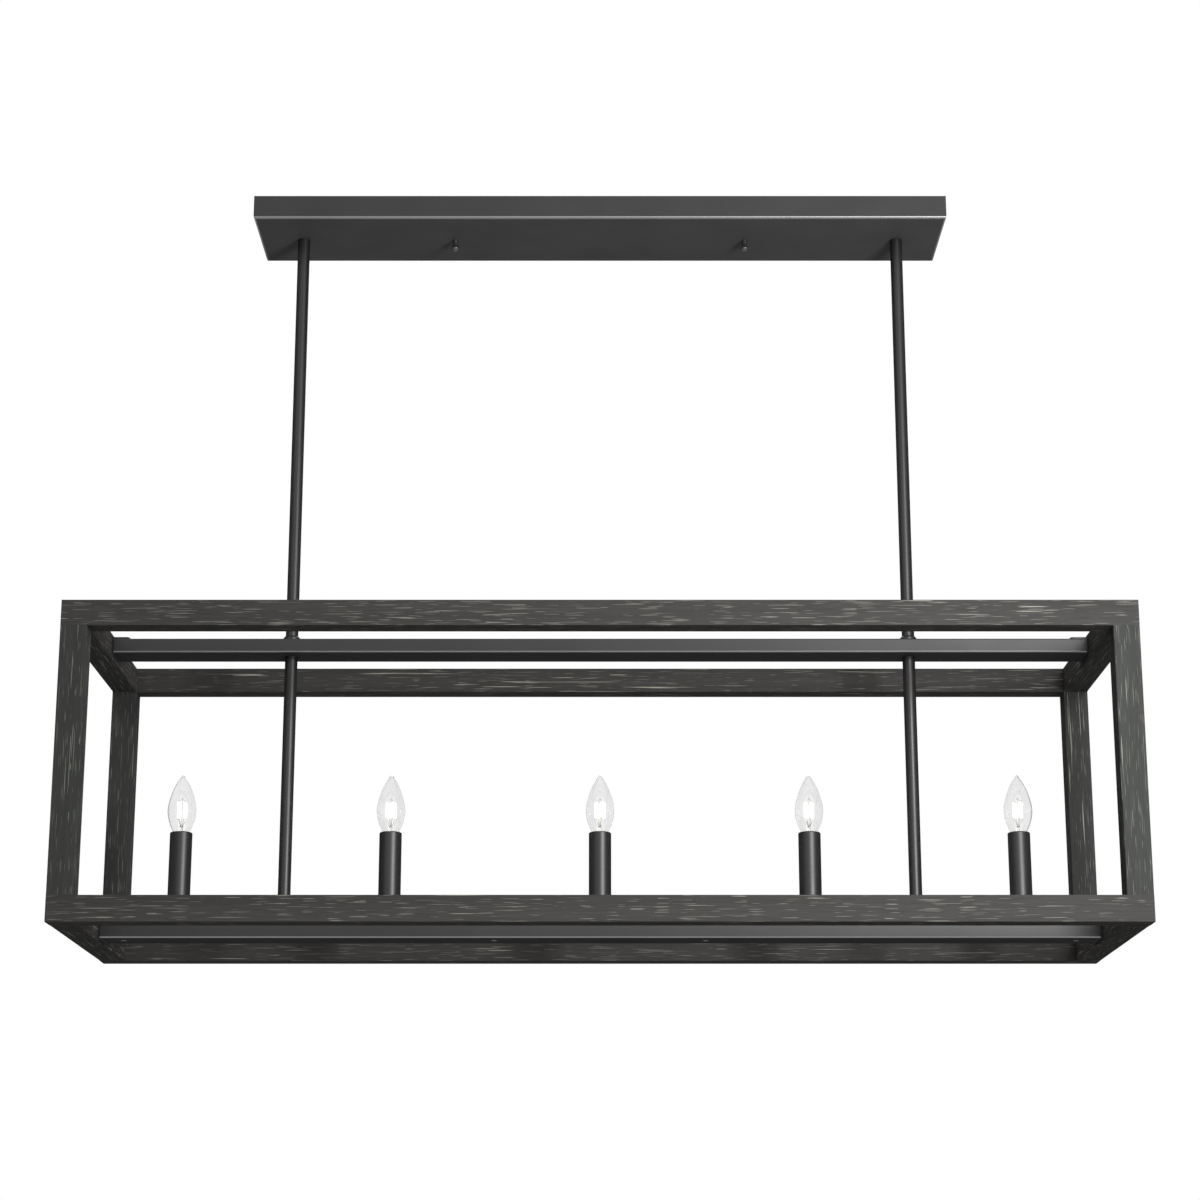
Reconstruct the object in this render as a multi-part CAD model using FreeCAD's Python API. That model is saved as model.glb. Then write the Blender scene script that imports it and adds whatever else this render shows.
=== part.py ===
import FreeCAD, Part
import math
import os

# Linear island pendant: an open box frame of square timber hangs from a ceiling canopy on two rods.
# Inside the frame an upper and a lower crossbar run end to end, and five candle lamps stand on the
# lower one. Millimetres, +Z up, +X along the frame. The origin is the middle of the ceiling plane.

# ---------------------------------------------------------------- driving dimensions
# Timber frame
frame_length = 1041.4        # 41 in, outside
frame_depth = 311.1
frame_height = 312.5
timber = 25.4                # square section of every frame member
arris = 0.5                  # eased long edges
tenon_thickness = 6.0
tenon_width = 12.0
tenon_depth = 10.0           # how far each loose tenon reaches into each of its two members
post_tenon_offset = 5.5      # towards the outside, clear of the end rail's tenons

# Ceiling canopy
canopy_overhang = 46.7        # beyond the axis of each rod
canopy_width = 118.8
canopy_height = 25.0
canopy_wall = 1.0
canopy_edge_radius = 2.5     # lower edges
canopy_hole_clearance = 0.8  # round the strap studs

# Ceiling strap and its fasteners
strap_end = 18.5             # beyond the axis of each stud
strap_width = 30.0
strap_thickness = 1.6
strap_lip = 6.0              # height of the turned-down sides
box_slot_spacing = 79.4      # takes outlet boxes with screws 70 to 89 apart
box_slot_length = 14.3
box_slot_width = 4.8
stud_spacing = 308.0
stud_diameter = 3.5
stud_reach = 10.0            # length of stud inside its thumb nut
stud_nut_flats = 7.9
stud_nut_height = 3.0
ground_screw_x = 18.0
ground_head_radius = 3.6
ground_crown_radius = 2.6
ground_head_height = 2.0

# Thumb nuts under the canopy
thumb_height = 12.4
thumb_radius = 4.3           # at the bulge
thumb_neck_radius = 2.8
thumb_neck_height = 4.0
thumb_bulge_height = 3.0     # from the bulge down to the tip
thumb_steps = 2              # facets along the flare, and again round the tip

# Rods, nipples and lock nuts
rod_diameter = 12.7
rod_wall = 1.15
rod_drop = 438.2             # canopy underside to frame top
nipple_wall = 1.4
nipple_engagement = 10.0     # length inside a rod
nipple_proud = 1.5           # beyond its lock nut
locknut_flats = 15.9
locknut_height = 4.0
collar_radius = 8.6
collar_height = 7.0
collar_cone_height = 2.0
collar_lip = 0.5             # level rim round the rod

# Crossbars and the brackets at their ends
bar_depth = 43.2
bar_height = 14.25
bar_wall = 1.2
bar_edge_radius = 1.5
upper_bar_drop = 4.9         # frame top to bar top
lower_bar_rise = 3.35        # frame bottom to bar bottom
lamp_plate_thickness = 1.5
lamp_plate_flange = 6.0
bracket_thickness = 1.9
bracket_width = 40.0
bracket_tab = 17.2           # tab length, measured from the end rail
wood_screw_spacing = 24.0
wood_screw_radius = 1.75
wood_screw_length = 18.0     # in the end rail
tab_screw_radius = 2.0
tab_screw_length = 5.0       # below the tab
screw_head_radius = 3.6
screw_crown_radius = 2.6
screw_head_height = 2.2
channel_post_inset = 20.4    # end of the channel to the outer posts
channel_post_radius = 3.5
channel_screw_radius = 1.5
channel_screw_head_radius = 2.8
channel_screw_length = 6.0

# Candle lamps
lamp_count = 5
lamp_end_space = 100.3       # end of the frame to the axis of the outermost lamp
sleeve_radius = 11.2
sleeve_wall = 0.8
sleeve_height = 93.5
sleeve_mouth_radius = 8.7
sleeve_bend_steps = 2
holder_recess = 5.6          # sleeve top down to lampholder top
holder_radius = 7.8          # to its flats
holder_height = 30.0
holder_shell_wall = 0.5
holder_shell_height = 13.0
leg_thickness = 1.2
leg_width = 9.0
leg_foot_width = 13.0
leg_foot_reach = 7.5         # from the nipple's axis
leg_overlap = 8.0            # length of leg beside the lampholder

# Bulbs, heights measured from the top of the sleeve
bulb_tip_height = 59.4
bulb_widest_height = 23.4
bulb_radius = 14.4
bulb_tip_radius = 1.6        # round the blunt tip
bulb_tip_depth = 0.5
bulb_torch_power = 1.6
bulb_torch_fullness = 0.79
bulb_facet_crowding = 1.25   # crowds the facets towards the tip
bulb_shoulder_radius = 7.6   # where it enters the sleeve
bulb_neck_radius = 5.3
bulb_neck_depth = 5.0        # sleeve top down to the cap's rim
bulb_wall = 0.8
bulb_outer_steps = (6, 2)    # facets above and below the widest level
bulb_inner_steps = (2, 1)
cap_radius = 5.95
cap_wall = 0.6
cap_height = 14.0
cap_seat_depth = 4.5         # length of glass neck inside the cap
insulator_height = 3.2
contact_radius = 1.9
stem_rim = 0.6               # thickness of the stem's flange, sealed under the neck
stem_flare_height = 3.0
stem_height = 17.0
stem_tip_radius = 1.4
filament_count = 4
filament_circle = 4.2        # radius of the ring of filaments
filament_size = 1.5
filament_length = 15.0
filament_base_height = 16.0  # above the sleeve top
crown_rise = 5.0             # lead above the filaments
lead_size = 0.7

# Flats round the axis of small, slim or hidden round pieces
screw_sides = 6              # screws, studs and their holes
pipe_sides = 8               # nipples and their holes
holder_sides = 14
glass_sides = 16             # bulbs and their caps
thumb_sides = 12
collar_sides = 16
sleeve_sides = 20

# Clearances
slip = 0.05                  # shafts and tenons in their holes
loose = 0.15                 # sheet parts nested in one another
bulb_clearance = 0.3         # bulb cap in its lampholder
nipple_hole_clearance = 0.15

# ---------------------------------------------------------------- derived places
UP = FreeCAD.Vector(0, 0, 1)
ALONG = FreeCAD.Vector(1, 0, 0)
ACROSS = FreeCAD.Vector(0, 1, 0)
SIDES = (-1, 1)
SIDE_NAMES = {-1: "left", 1: "right"}
DEPTH_NAMES = {-1: "front", 1: "back"}

canopy_floor = -canopy_height
frame_top = canopy_floor - rod_drop
frame_bottom = frame_top - frame_height
rail_inner_x = frame_length / 2 - timber
rail_centre_x = frame_length / 2 - timber / 2
rail_centre_y = frame_depth / 2 - timber / 2
rail_inner_y = frame_depth / 2 - timber

upper_bar_top = frame_top - upper_bar_drop
upper_bar_bottom = upper_bar_top - bar_height
lower_bar_bottom = frame_bottom + lower_bar_rise
lower_bar_top = lower_bar_bottom + bar_height
bar_half_length = rail_inner_x - bracket_thickness
bracket_screw_x = rail_inner_x - (bracket_tab + bracket_thickness) / 2

lamp_pitch = (frame_length - 2 * lamp_end_space) / (lamp_count - 1)
lamp_places = [(index - (lamp_count - 1) / 2) * lamp_pitch for index in range(lamp_count)]
rod_x = (lamp_places[-1] + lamp_places[-2]) / 2
rod_places = [side * rod_x for side in SIDES]
canopy_length = 2 * (rod_x + canopy_overhang)
stud_places = [side * stud_spacing / 2 for side in SIDES]
strap_length = stud_spacing + 2 * strap_end
channel_post_places = [side * place for side in SIDES
                       for place in (lamp_pitch / 2, bar_half_length - channel_post_inset)]

rod_radius = rod_diameter / 2
rod_bore = rod_radius - rod_wall
nipple_radius = rod_bore - slip
nipple_hole = nipple_radius + nipple_hole_clearance
nipple_bore = nipple_radius - nipple_wall
stud_radius = stud_diameter / 2

sleeve_top = lower_bar_top + sleeve_height
holder_top = sleeve_top - holder_recess
cap_rim = sleeve_top - bulb_neck_depth
cap_base = cap_rim - cap_height
contact_tip = cap_base - insulator_height
holder_bore = cap_radius + bulb_clearance
holder_bottom = holder_top - holder_height


# ---------------------------------------------------------------- shared shapes
def at(x, y, z):
    return FreeCAD.Vector(x, y, z)


def block(x_range, y_range, z_range):
    """Square-edged block between three pairs of limits."""
    size = [high - low for low, high in (x_range, y_range, z_range)]
    return Part.makeBox(*size, at(x_range[0], y_range[0], z_range[0]))


def column(radius, low, high, x=0.0):
    """Upright cylinder between two heights."""
    return Part.makeCylinder(radius, high - low, at(x, 0, low), UP)


def tube(outer, inner, low, high, x=0.0):
    """Upright tube between two heights."""
    return column(outer, low, high, x).cut(column(inner, low, high, x))


def prism(sides, radius, low, high, x=0.0):
    """Upright regular prism with its corners at a radius."""
    turns = [2 * math.pi * step / sides for step in range(sides)]
    corners = [at(x + radius * math.cos(turn), radius * math.sin(turn), low) for turn in turns]
    return Part.Face(Part.makePolygon(corners + corners[:1])).extrude(UP * (high - low))


def screw_rod(radius, low, high, x=0.0):
    """Upright shank of a screw or stud, or a hole for one."""
    return prism(screw_sides, radius, low, high, x)


def pipe_rod(radius, low, high, x=0.0):
    """Upright outside or bore of a pipe nipple, or a hole for one."""
    return prism(pipe_sides, radius, low, high, x)


def lying(upright, place, direction):
    """A small upright piece, modelled from the origin, laid along a direction from a place."""
    piece = upright.copy()
    piece.Placement = FreeCAD.Placement(place, FreeCAD.Rotation(UP, direction))
    return piece


def by_flats(sides, reach):
    """Corner radius of a regular prism whose flats are at a reach from its axis."""
    return reach / math.cos(math.pi / sides)


def hexagon_nut(flats, low, high, x, bore):
    """Upright hexagon nut round a bore."""
    return prism(6, by_flats(6, flats / 2), low, high, x).cut(bore)


def faceted(x, outline, sides):
    """Upright solid with flats round its axis, from its (radius, height) points in order."""
    def corner(point, index):
        turn = 2 * math.pi * (index % sides) / sides
        return at(x + point[0] * math.cos(turn), point[0] * math.sin(turn), point[1])

    faces = []
    for here, there in zip(outline, outline[1:] + outline[:1]):
        for index in range(sides):
            corners = [corner(here, index)]
            if here[0] > 0:
                corners.append(corner(here, index + 1))
            if there[0] > 0:
                corners.append(corner(there, index + 1))
            corners.append(corner(there, index))
            if len(corners) > 2:
                faces.append(Part.Face(Part.makePolygon(corners + corners[:1])))
    solid = Part.makeSolid(Part.makeShell(faces))
    if solid.Volume < 0:
        solid.reverse()
    return solid.removeSplitter()


def bend(radius, height, size, steps):
    """Points of a quarter bend about (radius, height), from level with it to straight above it."""
    angles = [math.radians(90 * step / steps) for step in range(steps + 1)]
    return [(radius + size * math.cos(angle), height + size * math.sin(angle)) for angle in angles]


def edges_along(shape, direction):
    """Straight edges of a shape that run along a direction."""
    found = []
    for edge in shape.Edges:
        run = edge.Vertexes[-1].Point - edge.Vertexes[0].Point
        if run.Length > 0 and abs(run.normalize().dot(direction)) > 0.999:
            found.append(edge)
    return found


def group(solids):
    """Separate like solids in one node."""
    return Part.makeCompound(solids)


# ---------------------------------------------------------------- ceiling canopy and strap
def canopy_block(inset, top):
    """The canopy's outside, or its inside when inset by the wall, and the edges round its floor."""
    half_length = canopy_length / 2 - inset
    half_width = canopy_width / 2 - inset
    body = block((-half_length, half_length), (-half_width, half_width), (canopy_floor + inset, top))
    return body, [edge for edge in body.Edges if edge.BoundBox.ZMax < canopy_floor + inset + slip]


def make_canopy():
    """Folded steel pan, open to the ceiling, with holes for two nipples and two studs."""
    outside, outer_edges = canopy_block(0, 0)
    inside, inner_edges = canopy_block(canopy_wall, canopy_height)
    outside = outside.makeFillet(canopy_edge_radius, outer_edges)
    inside = inside.makeChamfer(canopy_edge_radius - canopy_wall, inner_edges)
    pan = outside.cut(inside)
    over = canopy_floor + canopy_edge_radius
    holes = [pipe_rod(nipple_hole, canopy_floor, over, x) for x in rod_places]
    holes += [screw_rod(stud_radius + canopy_hole_clearance, canopy_floor, over, x) for x in stud_places]
    return pan.cut(holes)


def make_mounting_strap():
    """Strap with turned-down sides, slotted for the outlet box and bored for the studs."""
    half_length = strap_length / 2
    half_width = strap_width / 2
    strap = block((-half_length, half_length), (-half_width, half_width), (-strap_lip, 0))
    inside = half_width - strap_thickness
    strap = strap.cut(block((-half_length, half_length), (-inside, inside), (-strap_lip, -strap_thickness)))
    bends = [edge for edge in edges_along(strap, ALONG)
             if edge.BoundBox.ZMin > -slip and abs(edge.BoundBox.YMin) > inside]
    strap = strap.makeFillet(strap_thickness, bends)
    cuts = [screw_rod(stud_radius + slip, -strap_thickness, 0, x)
            for x in stud_places + [ground_screw_x]]
    straight = box_slot_length - box_slot_width
    for side in SIDES:
        middle = side * box_slot_spacing / 2
        cuts.append(block((middle - straight / 2, middle + straight / 2),
                          (-box_slot_width / 2, box_slot_width / 2), (-strap_thickness, 0)))
        for end in SIDES:
            cuts.append(column(box_slot_width / 2, -strap_thickness, 0, middle + end * straight / 2))
    return strap.cut(cuts)


def make_strap_studs():
    """Two threaded studs that hang from the strap into the thumb nuts."""
    return group([screw_rod(stud_radius, canopy_floor - stud_reach, 0, x) for x in stud_places])


def make_strap_stud_nuts():
    """Nuts that lock the studs under the strap."""
    high = -strap_thickness
    low = high - stud_nut_height
    return group([hexagon_nut(stud_nut_flats, low, high, x, screw_rod(stud_radius + slip, low, high, x))
                  for x in stud_places])


def make_ground_screw():
    """Round-headed earthing screw in the strap."""
    crown = -strap_thickness - ground_head_height
    return faceted(ground_screw_x, [
        (0, 0),
        (stud_radius, 0),
        (stud_radius, -strap_thickness),
        (ground_head_radius, -strap_thickness),
        (ground_crown_radius, crown),
        (0, crown),
    ], screw_sides)


def make_thumb_nut(x):
    """Turned nut with a slim neck that flares to a rounded bulge, bored for the stud."""
    tip = canopy_floor - thumb_height
    bulge = tip + thumb_bulge_height
    neck = canopy_floor - thumb_neck_height
    outline = [(0, canopy_floor), (thumb_neck_radius, canopy_floor)]
    for step in range(thumb_steps + 1):
        share = step / thumb_steps
        radius = thumb_neck_radius + (thumb_radius - thumb_neck_radius) * share ** 2
        outline.append((radius, neck + (bulge - neck) * share))
    for step in range(1, thumb_steps + 1):
        angle = math.radians(90 * step / (thumb_steps + 1))
        outline.append((thumb_radius * math.cos(angle), bulge - thumb_bulge_height * math.sin(angle)))
    outline += [(outline[-1][0] / 2, tip), (0, tip)]
    bore = column(stud_radius + slip, canopy_floor - stud_reach - slip, canopy_floor, x)
    return faceted(x, outline, thumb_sides).cut(bore)


# ---------------------------------------------------------------- rods and their fittings
def nipple(x, low, high):
    """Pipe nipple between two heights."""
    return pipe_rod(nipple_radius, low, high, x).cut(pipe_rod(nipple_bore, low, high, x))


def make_threaded_nipples():
    """Pipe nipples: canopy to downrod, downrod to inner rod, inner rod and lamps to the lamp plate."""
    canopy_end = canopy_floor + canopy_wall + locknut_height + nipple_proud
    plate_end = lower_bar_top - lamp_plate_thickness - locknut_height - nipple_proud
    parts = [nipple(x, canopy_floor - nipple_engagement, canopy_end) for x in rod_places]
    parts += [nipple(x, upper_bar_bottom - nipple_engagement, upper_bar_top + nipple_engagement)
              for x in rod_places]
    parts += [nipple(x, plate_end, lower_bar_top + nipple_engagement) for x in rod_places]
    parts += [nipple(x, plate_end, lower_bar_top + leg_thickness + nipple_proud) for x in lamp_places]
    return group(parts)


def make_nipple_locknuts():
    """Lock nuts inside the canopy and under the lamp plate."""
    canopy_seat = canopy_floor + canopy_wall
    plate_seat = lower_bar_top - lamp_plate_thickness - locknut_height
    seats = [(x, canopy_seat) for x in rod_places]
    seats += [(x, plate_seat) for x in rod_places + lamp_places]
    nuts = []
    for x, low in seats:
        high = low + locknut_height
        nuts.append(hexagon_nut(locknut_flats, low, high, x, pipe_rod(nipple_radius + slip, low, high, x)))
    return group(nuts)


def make_downrod(x):
    """Tube from the canopy to the top of the upper crossbar."""
    return tube(rod_radius, rod_bore, upper_bar_top, canopy_floor, x)


def make_inner_rod(x):
    """Tube between the two crossbars."""
    return tube(rod_radius, rod_bore, lower_bar_top, upper_bar_bottom, x)


def make_rod_collars():
    """Collars round the foot of each downrod, coned at the top."""
    bore = by_flats(collar_sides, rod_radius + slip)
    top = upper_bar_top + collar_height
    return group([faceted(x, [
        (0, upper_bar_top),
        (collar_radius, upper_bar_top),
        (collar_radius, top - collar_cone_height),
        (bore + collar_lip, top),
        (0, top),
    ], collar_sides).cut(prism(collar_sides, bore, upper_bar_top, top, x)) for x in rod_places])


# ---------------------------------------------------------------- crossbars
def bar_section(low, high, half_length, radius, edge_heights):
    """Solid bar with rounded long edges at the given heights."""
    half_depth = bar_depth / 2
    bar = block((-half_length, half_length), (-half_depth, half_depth), (low, high))
    rounded = [edge for edge in edges_along(bar, ALONG)
               if any(abs(edge.BoundBox.ZMin - height) < slip for height in edge_heights)]
    return bar.makeFillet(radius, rounded)


def make_upper_crossbar():
    """Rectangular steel tube, bored right through for the two nipples."""
    bar = bar_section(upper_bar_bottom, upper_bar_top, bar_half_length, bar_edge_radius,
                      (upper_bar_bottom, upper_bar_top))
    inside = bar_depth / 2 - bar_wall
    hollow = block((-bar_half_length, bar_half_length), (-inside, inside),
                   (upper_bar_bottom + bar_wall, upper_bar_top - bar_wall))
    cuts = [hollow] + [pipe_rod(nipple_hole, upper_bar_bottom, upper_bar_top, x) for x in rod_places]
    cuts += [screw_rod(tab_screw_radius + slip, upper_bar_top - bar_wall, upper_bar_top,
                       side * bracket_screw_x) for side in SIDES]
    return bar.cut(cuts)


def make_lower_channel():
    """Steel channel, open at the top, that carries the wiring under the lamp plate."""
    bar = bar_section(lower_bar_bottom, lower_bar_top, bar_half_length, bar_edge_radius, (lower_bar_bottom,))
    inside = bar_depth / 2 - bar_wall
    floor = lower_bar_bottom + bar_wall
    cuts = [block((-bar_half_length, bar_half_length), (-inside, inside), (floor, lower_bar_top))]
    cuts += [channel_screw(x, slip) for x in channel_post_places]
    return bar.cut(cuts)


def make_lamp_plate():
    """Plate that closes the channel, with turned-down sides and posts for the channel's screws."""
    half_width = bar_depth / 2 - bar_wall - loose
    inside = half_width - lamp_plate_thickness
    underside = lower_bar_top - lamp_plate_thickness
    flange_low = lower_bar_top - lamp_plate_flange
    plate = block((-bar_half_length, bar_half_length), (-half_width, half_width), (flange_low, lower_bar_top))
    plate = plate.cut(block((-bar_half_length, bar_half_length), (-inside, inside), (flange_low, underside)))
    floor = lower_bar_bottom + bar_wall
    posts = [screw_rod(channel_post_radius, floor, underside, x) for x in channel_post_places]
    plate = plate.fuse(posts).removeSplitter()
    cuts = [pipe_rod(nipple_hole, underside, lower_bar_top, x) for x in rod_places + lamp_places]
    cuts += [screw_rod(channel_screw_radius + slip, floor, floor + channel_screw_length + slip, x)
             for x in channel_post_places]
    cuts += [screw_rod(tab_screw_radius + slip, underside, lower_bar_top, side * bracket_screw_x)
             for side in SIDES]
    return plate.cut(cuts)


def channel_screw(x, spare):
    """Countersunk screw from the channel's underside, or its hole when given a clearance."""
    floor = lower_bar_bottom + bar_wall
    return faceted(x, [
        (0, lower_bar_bottom),
        (channel_screw_head_radius + spare, lower_bar_bottom),
        (channel_screw_radius + spare, floor),
        (channel_screw_radius + spare, floor + channel_screw_length),
        (0, floor + channel_screw_length),
    ], screw_sides)


def make_channel_screws():
    """Countersunk screws up through the channel's floor into the posts."""
    return group([channel_screw(x, 0) for x in channel_post_places])


def make_end_bracket(side, bar_top):
    """Angle bracket: a plate on the end rail behind the bar's end, and a tab over the bar."""
    outer = side * rail_inner_x
    inner = side * (rail_inner_x - bracket_thickness)
    tab_end = side * (rail_inner_x - bracket_tab)
    half_width = bracket_width / 2
    top = bar_top + bracket_thickness
    plate = block(sorted((outer, inner)), (-half_width, half_width), (bar_top - bar_height, top))
    tab = block(sorted((inner, tab_end)), (-half_width, half_width), (bar_top, top))
    bracket = plate.fuse(tab).removeSplitter()
    corners = [edge for edge in edges_along(bracket, UP) if abs(edge.BoundBox.XMin - tab_end) < slip]
    bracket = bracket.makeChamfer(bracket_thickness, corners)
    middle = bar_top - bar_height / 2
    cuts = [screw_rod(tab_screw_radius + slip, bar_top, top, side * bracket_screw_x)]
    hole = screw_rod(wood_screw_radius + slip, 0, bracket_thickness)
    for end in SIDES:
        cuts.append(lying(hole, at(inner, end * wood_screw_spacing / 2, middle), ALONG * side))
    return bracket.cut(cuts)


def pan_screw(radius, length, place, direction):
    """Screw whose head's underside sits at a place and whose shank runs along a direction."""
    screw = faceted(0, [
        (0, -screw_head_height),
        (screw_crown_radius, -screw_head_height),
        (screw_head_radius, 0),
        (radius, 0),
        (radius, length),
        (0, length),
    ], screw_sides)
    return lying(screw, place, direction)


def make_bracket_wood_screws():
    """Screws through the brackets into the end rails, with their heads inside the bars' ends."""
    screws = []
    for bar_top in (upper_bar_top, lower_bar_top):
        for side in SIDES:
            for end in SIDES:
                place = at(side * bar_half_length, end * wood_screw_spacing / 2, bar_top - bar_height / 2)
                reach = bracket_thickness + wood_screw_length
                screws.append(pan_screw(wood_screw_radius, reach, place, ALONG * side))
    return group(screws)


def make_bracket_tab_screws():
    """Screws down through the bracket tabs into the bars."""
    screws = []
    for bar_top in (upper_bar_top, lower_bar_top):
        for side in SIDES:
            place = at(side * bracket_screw_x, 0, bar_top + bracket_thickness)
            screws.append(pan_screw(tab_screw_radius, bracket_thickness + tab_screw_length, place, UP * -1))
    return group(screws)


# ---------------------------------------------------------------- timber frame
def centred_block(centre, size):
    """Square-edged block about its centre."""
    half = [length / 2 for length in size]
    return block(*[(middle - reach, middle + reach) for middle, reach in zip(centre, half)])


def tenons(spare):
    """All sixteen loose tenons, or their mortises when given a clearance."""
    thickness = tenon_thickness + 2 * spare
    width = tenon_width + 2 * spare
    length = 2 * (tenon_depth + spare)
    found = []
    for side in SIDES:
        x = side * rail_centre_x
        for deep in SIDES:
            y = deep * (rail_centre_y + post_tenon_offset)
            for joint in (frame_bottom + timber, frame_top - timber):
                found.append(centred_block((x, y, joint), (width, thickness, length)))
            for middle in (frame_bottom + timber / 2, frame_top - timber / 2):
                place = (x, deep * rail_inner_y, middle)
                found.append(centred_block(place, (width, length, thickness)))
    return found


def mortised(member):
    """A member less the mortises that reach it."""
    near = [hole for hole in tenons(slip) if hole.BoundBox.intersect(member.BoundBox)]
    return member.cut(near)


def make_long_rail(deep, low):
    """Rail over the full length; the posts and end rails butt against it."""
    outer = deep * frame_depth / 2
    inner = deep * rail_inner_y
    half_length = frame_length / 2
    rail = block((-half_length, half_length), sorted((outer, inner)), (low, low + timber))
    free_height = frame_bottom if low == frame_bottom else frame_top
    free = [edge for edge in edges_along(rail, ALONG)
            if abs(edge.BoundBox.YMin - outer) < slip and abs(edge.BoundBox.ZMin - free_height) < slip]
    return mortised(rail.makeChamfer(arris, free))


def make_end_rail(side, low):
    """Short rail between the two long ones, drilled for the bracket's screws."""
    outer = side * frame_length / 2
    inner = side * rail_inner_x
    rail = block(sorted((outer, inner)), (-rail_inner_y, rail_inner_y), (low, low + timber))
    rail = mortised(rail.makeChamfer(arris, edges_along(rail, ACROSS)))
    bar_top = lower_bar_top if low == frame_bottom else upper_bar_top
    middle = bar_top - bar_height / 2
    hole = screw_rod(wood_screw_radius + slip, 0, wood_screw_length + slip)
    return rail.cut([lying(hole, at(inner, end * wood_screw_spacing / 2, middle), ALONG * side)
                     for end in SIDES])


def make_post(side, deep):
    """Upright between a bottom and a top long rail."""
    x_range = sorted((side * frame_length / 2, side * rail_inner_x))
    y_range = sorted((deep * frame_depth / 2, deep * rail_inner_y))
    post = block(x_range, y_range, (frame_bottom + timber, frame_top - timber))
    return mortised(post.makeChamfer(arris, edges_along(post, UP)))


# ---------------------------------------------------------------- candle lamps
def make_candle_sleeve(x):
    """Steel sleeve whose top edge is rolled in to a round mouth."""
    roll = sleeve_radius - sleeve_mouth_radius
    inner = sleeve_radius - sleeve_wall
    centre = sleeve_top - roll
    outer_bend = bend(sleeve_mouth_radius, centre, roll, sleeve_bend_steps)
    inner_bend = bend(sleeve_mouth_radius, centre, roll - sleeve_wall, sleeve_bend_steps)
    outline = [(inner, lower_bar_top), (sleeve_radius, lower_bar_top)] + outer_bend + inner_bend[::-1]
    return faceted(x, outline, sleeve_sides)


def make_lampholder(x):
    """Moulded body, the screw shell lining its bore and the centre contact on its floor."""
    lining = holder_bore + holder_shell_wall
    floor = contact_tip - holder_shell_wall
    shell_low = holder_top - holder_shell_height
    body = prism(holder_sides, by_flats(holder_sides, holder_radius), holder_bottom, holder_top, x)
    body = body.cut(prism(holder_sides, lining, floor, holder_top, x))
    shell = prism(holder_sides, lining, shell_low, holder_top, x)
    shell = shell.cut(prism(holder_sides, holder_bore, shell_low, holder_top, x))
    return group([body, shell, screw_rod(contact_radius, floor, contact_tip, x)])


def make_lampholder_legs():
    """Folded steel legs that stand the lampholders on the lamp plate."""
    legs = []
    half_foot = leg_foot_width / 2
    half_width = leg_width / 2
    back = holder_radius + leg_thickness
    step = lower_bar_top + leg_thickness
    for x in lamp_places:
        x_range = (x - half_width, x + half_width)
        foot = block((x - half_foot, x + half_foot), (-leg_foot_reach, leg_foot_reach), (lower_bar_top, step))
        heel = block(x_range, (leg_foot_reach, back), (lower_bar_top, step))
        upright = block(x_range, (holder_radius, back), (step, holder_bottom + leg_overlap))
        leg = foot.fuse([heel, upright]).removeSplitter()
        legs.append(leg.cut(pipe_rod(nipple_radius + slip, lower_bar_top, step, x)))
    return group(legs)


def bulb_outline(inset, steps):
    """Radius and height of the bulb from near its tip down to its neck, inset by the wall.

    Above its widest level the bulb is a slim torch shape, below it a cosine curve to the neck.
    """
    torch_steps, lower_steps = steps
    widest = sleeve_top + bulb_widest_height
    torch = bulb_tip_height - bulb_widest_height - inset
    points = []
    for step in range(1, torch_steps + 1):
        rise = 1 - (step / torch_steps) ** bulb_facet_crowding
        radius = (bulb_radius - inset) * (1 - rise ** bulb_torch_power) ** bulb_torch_fullness
        points.append((radius, widest + torch * rise))
    shoulder = math.acos(bulb_shoulder_radius / bulb_radius)
    for step in range(1, lower_steps + 1):
        fall = step / lower_steps
        radius = bulb_radius * math.cos(shoulder * fall) - inset
        points.append((radius, widest - bulb_widest_height * fall))
    points.append((bulb_neck_radius - inset, cap_rim))
    return points


def make_bulb_glass(x):
    """Thin torpedo of clear glass, open at the neck inside the cap."""
    tip = sleeve_top + bulb_tip_height
    seat = cap_rim - cap_seat_depth
    outer = bulb_outline(0, bulb_outer_steps)
    inner = bulb_outline(bulb_wall, bulb_inner_steps)
    neck = [(bulb_neck_radius, seat), (bulb_neck_radius - bulb_wall, seat)]
    crown = [(0, tip - bulb_wall), (0, tip), (bulb_tip_radius, tip - bulb_tip_depth)]
    return faceted(x, crown + outer + neck + inner[::-1], glass_sides)


def make_bulb_cap(x):
    """Screw cap: shell open at the rim, and a tapered insulator with the centre contact."""
    seat = bulb_neck_radius + slip
    return faceted(x, [
        (0, contact_tip),
        (contact_radius, contact_tip),
        (cap_radius, cap_base),
        (cap_radius, cap_rim),
        (seat, cap_rim),
        (seat, cap_base + cap_wall),
        (0, cap_base + cap_wall),
    ], glass_sides)


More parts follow.
